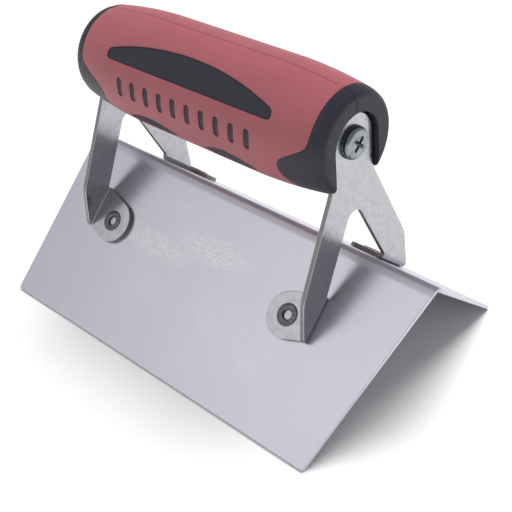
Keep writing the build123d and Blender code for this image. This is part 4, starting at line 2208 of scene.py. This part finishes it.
# ---- the studio ----
@dataclass
class Studio:
    """A pale floor, a soft surround with one bright panel, an overhead key light and the camera."""

    camera_place: Triple = (0.20873, -0.19158, 0.22800)
    azimuth: float = math.radians(47.204)
    elevation: float = math.radians(36.11)
    roll: float = math.radians(-5.721)
    focal_length: float = 72.52
    sensor: float = 36.0
    clip: Pair = (0.01, 20.0)
    floor_half: float = 4.0
    floor_shade: Triple = (0.93, 0.93, 0.93)
    floor_fade: float = 0.99
    floor_cloud: float = 0.3
    surround: float = 0.40
    bright: float = 1.13
    bright_direction: Triple = (-0.40, -0.65, 0.65)
    bright_inner: float = math.radians(5.7)
    bright_outer: float = math.radians(34)
    key_direction: Triple = (0.03, 0.40, 0.91)
    key_spread: float = math.radians(36)
    key_strength: float = 2.85

    def back(self) -> Vector:
        """Works out where the camera stands.

        Returns:
            The direction from the object to the camera.
        """
        x, y = math.sin(self.azimuth), -math.cos(self.azimuth)
        flat = math.cos(self.elevation)
        return Vector((x * flat, y * flat, math.sin(self.elevation)))

    def set_camera(self) -> None:
        """Makes the camera."""
        data = bpy.data.cameras.new("camera")
        data.lens = self.focal_length
        data.sensor_width = self.sensor
        data.clip_start, data.clip_end = self.clip
        camera = linked("camera", data)
        level = (-self.back()).to_track_quat("-Z", "Y").to_matrix()
        turned = level @ Matrix.Rotation(self.roll, 3, "Z")
        camera.matrix_world = Matrix.Translation(self.camera_place) @ turned.to_4x4()
        bpy.context.scene.camera = camera

    def lay_floor(self) -> None:
        """Makes the floor."""
        half = self.floor_half
        mesh = bpy.data.meshes.new("floor")
        corners = [(-half, -half, 0), (half, -half, 0), (half, half, 0), (-half, half, 0)]
        mesh.from_pydata(corners, [], [(0, 1, 2, 3)])
        floor = linked("floor", mesh)
        canvas = Canvas("pale floor")
        tone = canvas.sloped(canvas.noise(self.floor_cloud, 2), (0.3, 0.7))
        deeper = tuple(value * self.floor_fade for value in self.floor_shade)
        base = canvas.blend(tone, self.floor_shade, deeper)
        canvas.settings(Base_Color=base, Roughness=0.9, Specular_IOR_Level=0.1)
        mesh.materials.append(canvas.material)

    def light(self) -> None:
        """Sets the surround, its bright panel and the key light."""
        world = bpy.data.worlds.new("soft surround")
        bpy.context.scene.world = world
        world.use_nodes = True
        nodes, link = world.node_tree.nodes, world.node_tree.links.new
        background = next(node for node in nodes if node.type == "BACKGROUND")
        place = nodes.new("ShaderNodeTexCoord")
        toward = nodes.new("ShaderNodeVectorMath")
        toward.operation = "DOT_PRODUCT"
        toward.inputs[1].default_value = Vector(self.bright_direction).normalized()
        link(place.outputs["Generated"], toward.inputs[0])
        fade = nodes.new("ShaderNodeMapRange")
        fade.interpolation_type = "SMOOTHSTEP"
        link(toward.outputs["Value"], fade.inputs["Value"])
        fade.inputs["From Min"].default_value = math.cos(self.bright_outer)
        fade.inputs["From Max"].default_value = math.cos(self.bright_inner)
        fade.inputs["To Min"].default_value = self.surround
        fade.inputs["To Max"].default_value = self.bright
        background.inputs["Color"].default_value = (1, 1, 1, 1)
        link(fade.outputs["Result"], background.inputs["Strength"])
        lamp = bpy.data.lights.new("key", "SUN")
        lamp.angle, lamp.energy = self.key_spread, self.key_strength
        key = linked("key", lamp)
        key.matrix_world = Vector(self.key_direction).to_track_quat("Z", "Y").to_matrix().to_4x4()
        key.visible_glossy = False

    def build(self) -> None:
        """Sets up everything that isn't part of the object."""
        self.set_camera()
        self.lay_floor()
        self.light()
        bpy.context.scene.view_settings.view_transform = "Standard"


def main() -> None:
    """Builds every piece in order."""
    logging.basicConfig(level=logging.INFO, format="%(name)s: %(message)s")
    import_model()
    Studio().build()

    blade = Blade()
    blade.dress(blade.build())

    skin_low, skin_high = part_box("grip_skin")
    core_low, core_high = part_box("handle_core")
    middle = (core_low.x + core_high.x) / 2
    bracket = Bracket(blade, middle)
    rivets = Rivets(blade, bracket)
    y, z = bracket.blank_point(bracket.rivet_down, bracket.plate)
    reach = bracket.outer_x - middle - bracket.rivet_reach
    zinc = ZincPlate((reach, y, z), middle, rivets.ring).material()
    for end in End:
        bracket.dress(bracket.build(end), end, zinc)

    tree = FastenerTree()
    rivets.dress(rivets.build(), tree)
    screws = HandleScrews(bracket)
    screws.dress(screws.build(), tree)

    half, radius = (core_high.x - core_low.x) / 2, (skin_high.y - skin_low.y) / 2
    layout = GripLayout(Barrel(middle, bracket.axis_z, half, radius))
    core = HandleCore(layout, bracket)
    core.dress(core.build())
    skin = GripSkin(layout)
    skin.dress(skin.build())


if __name__ == "__main__":
    main()
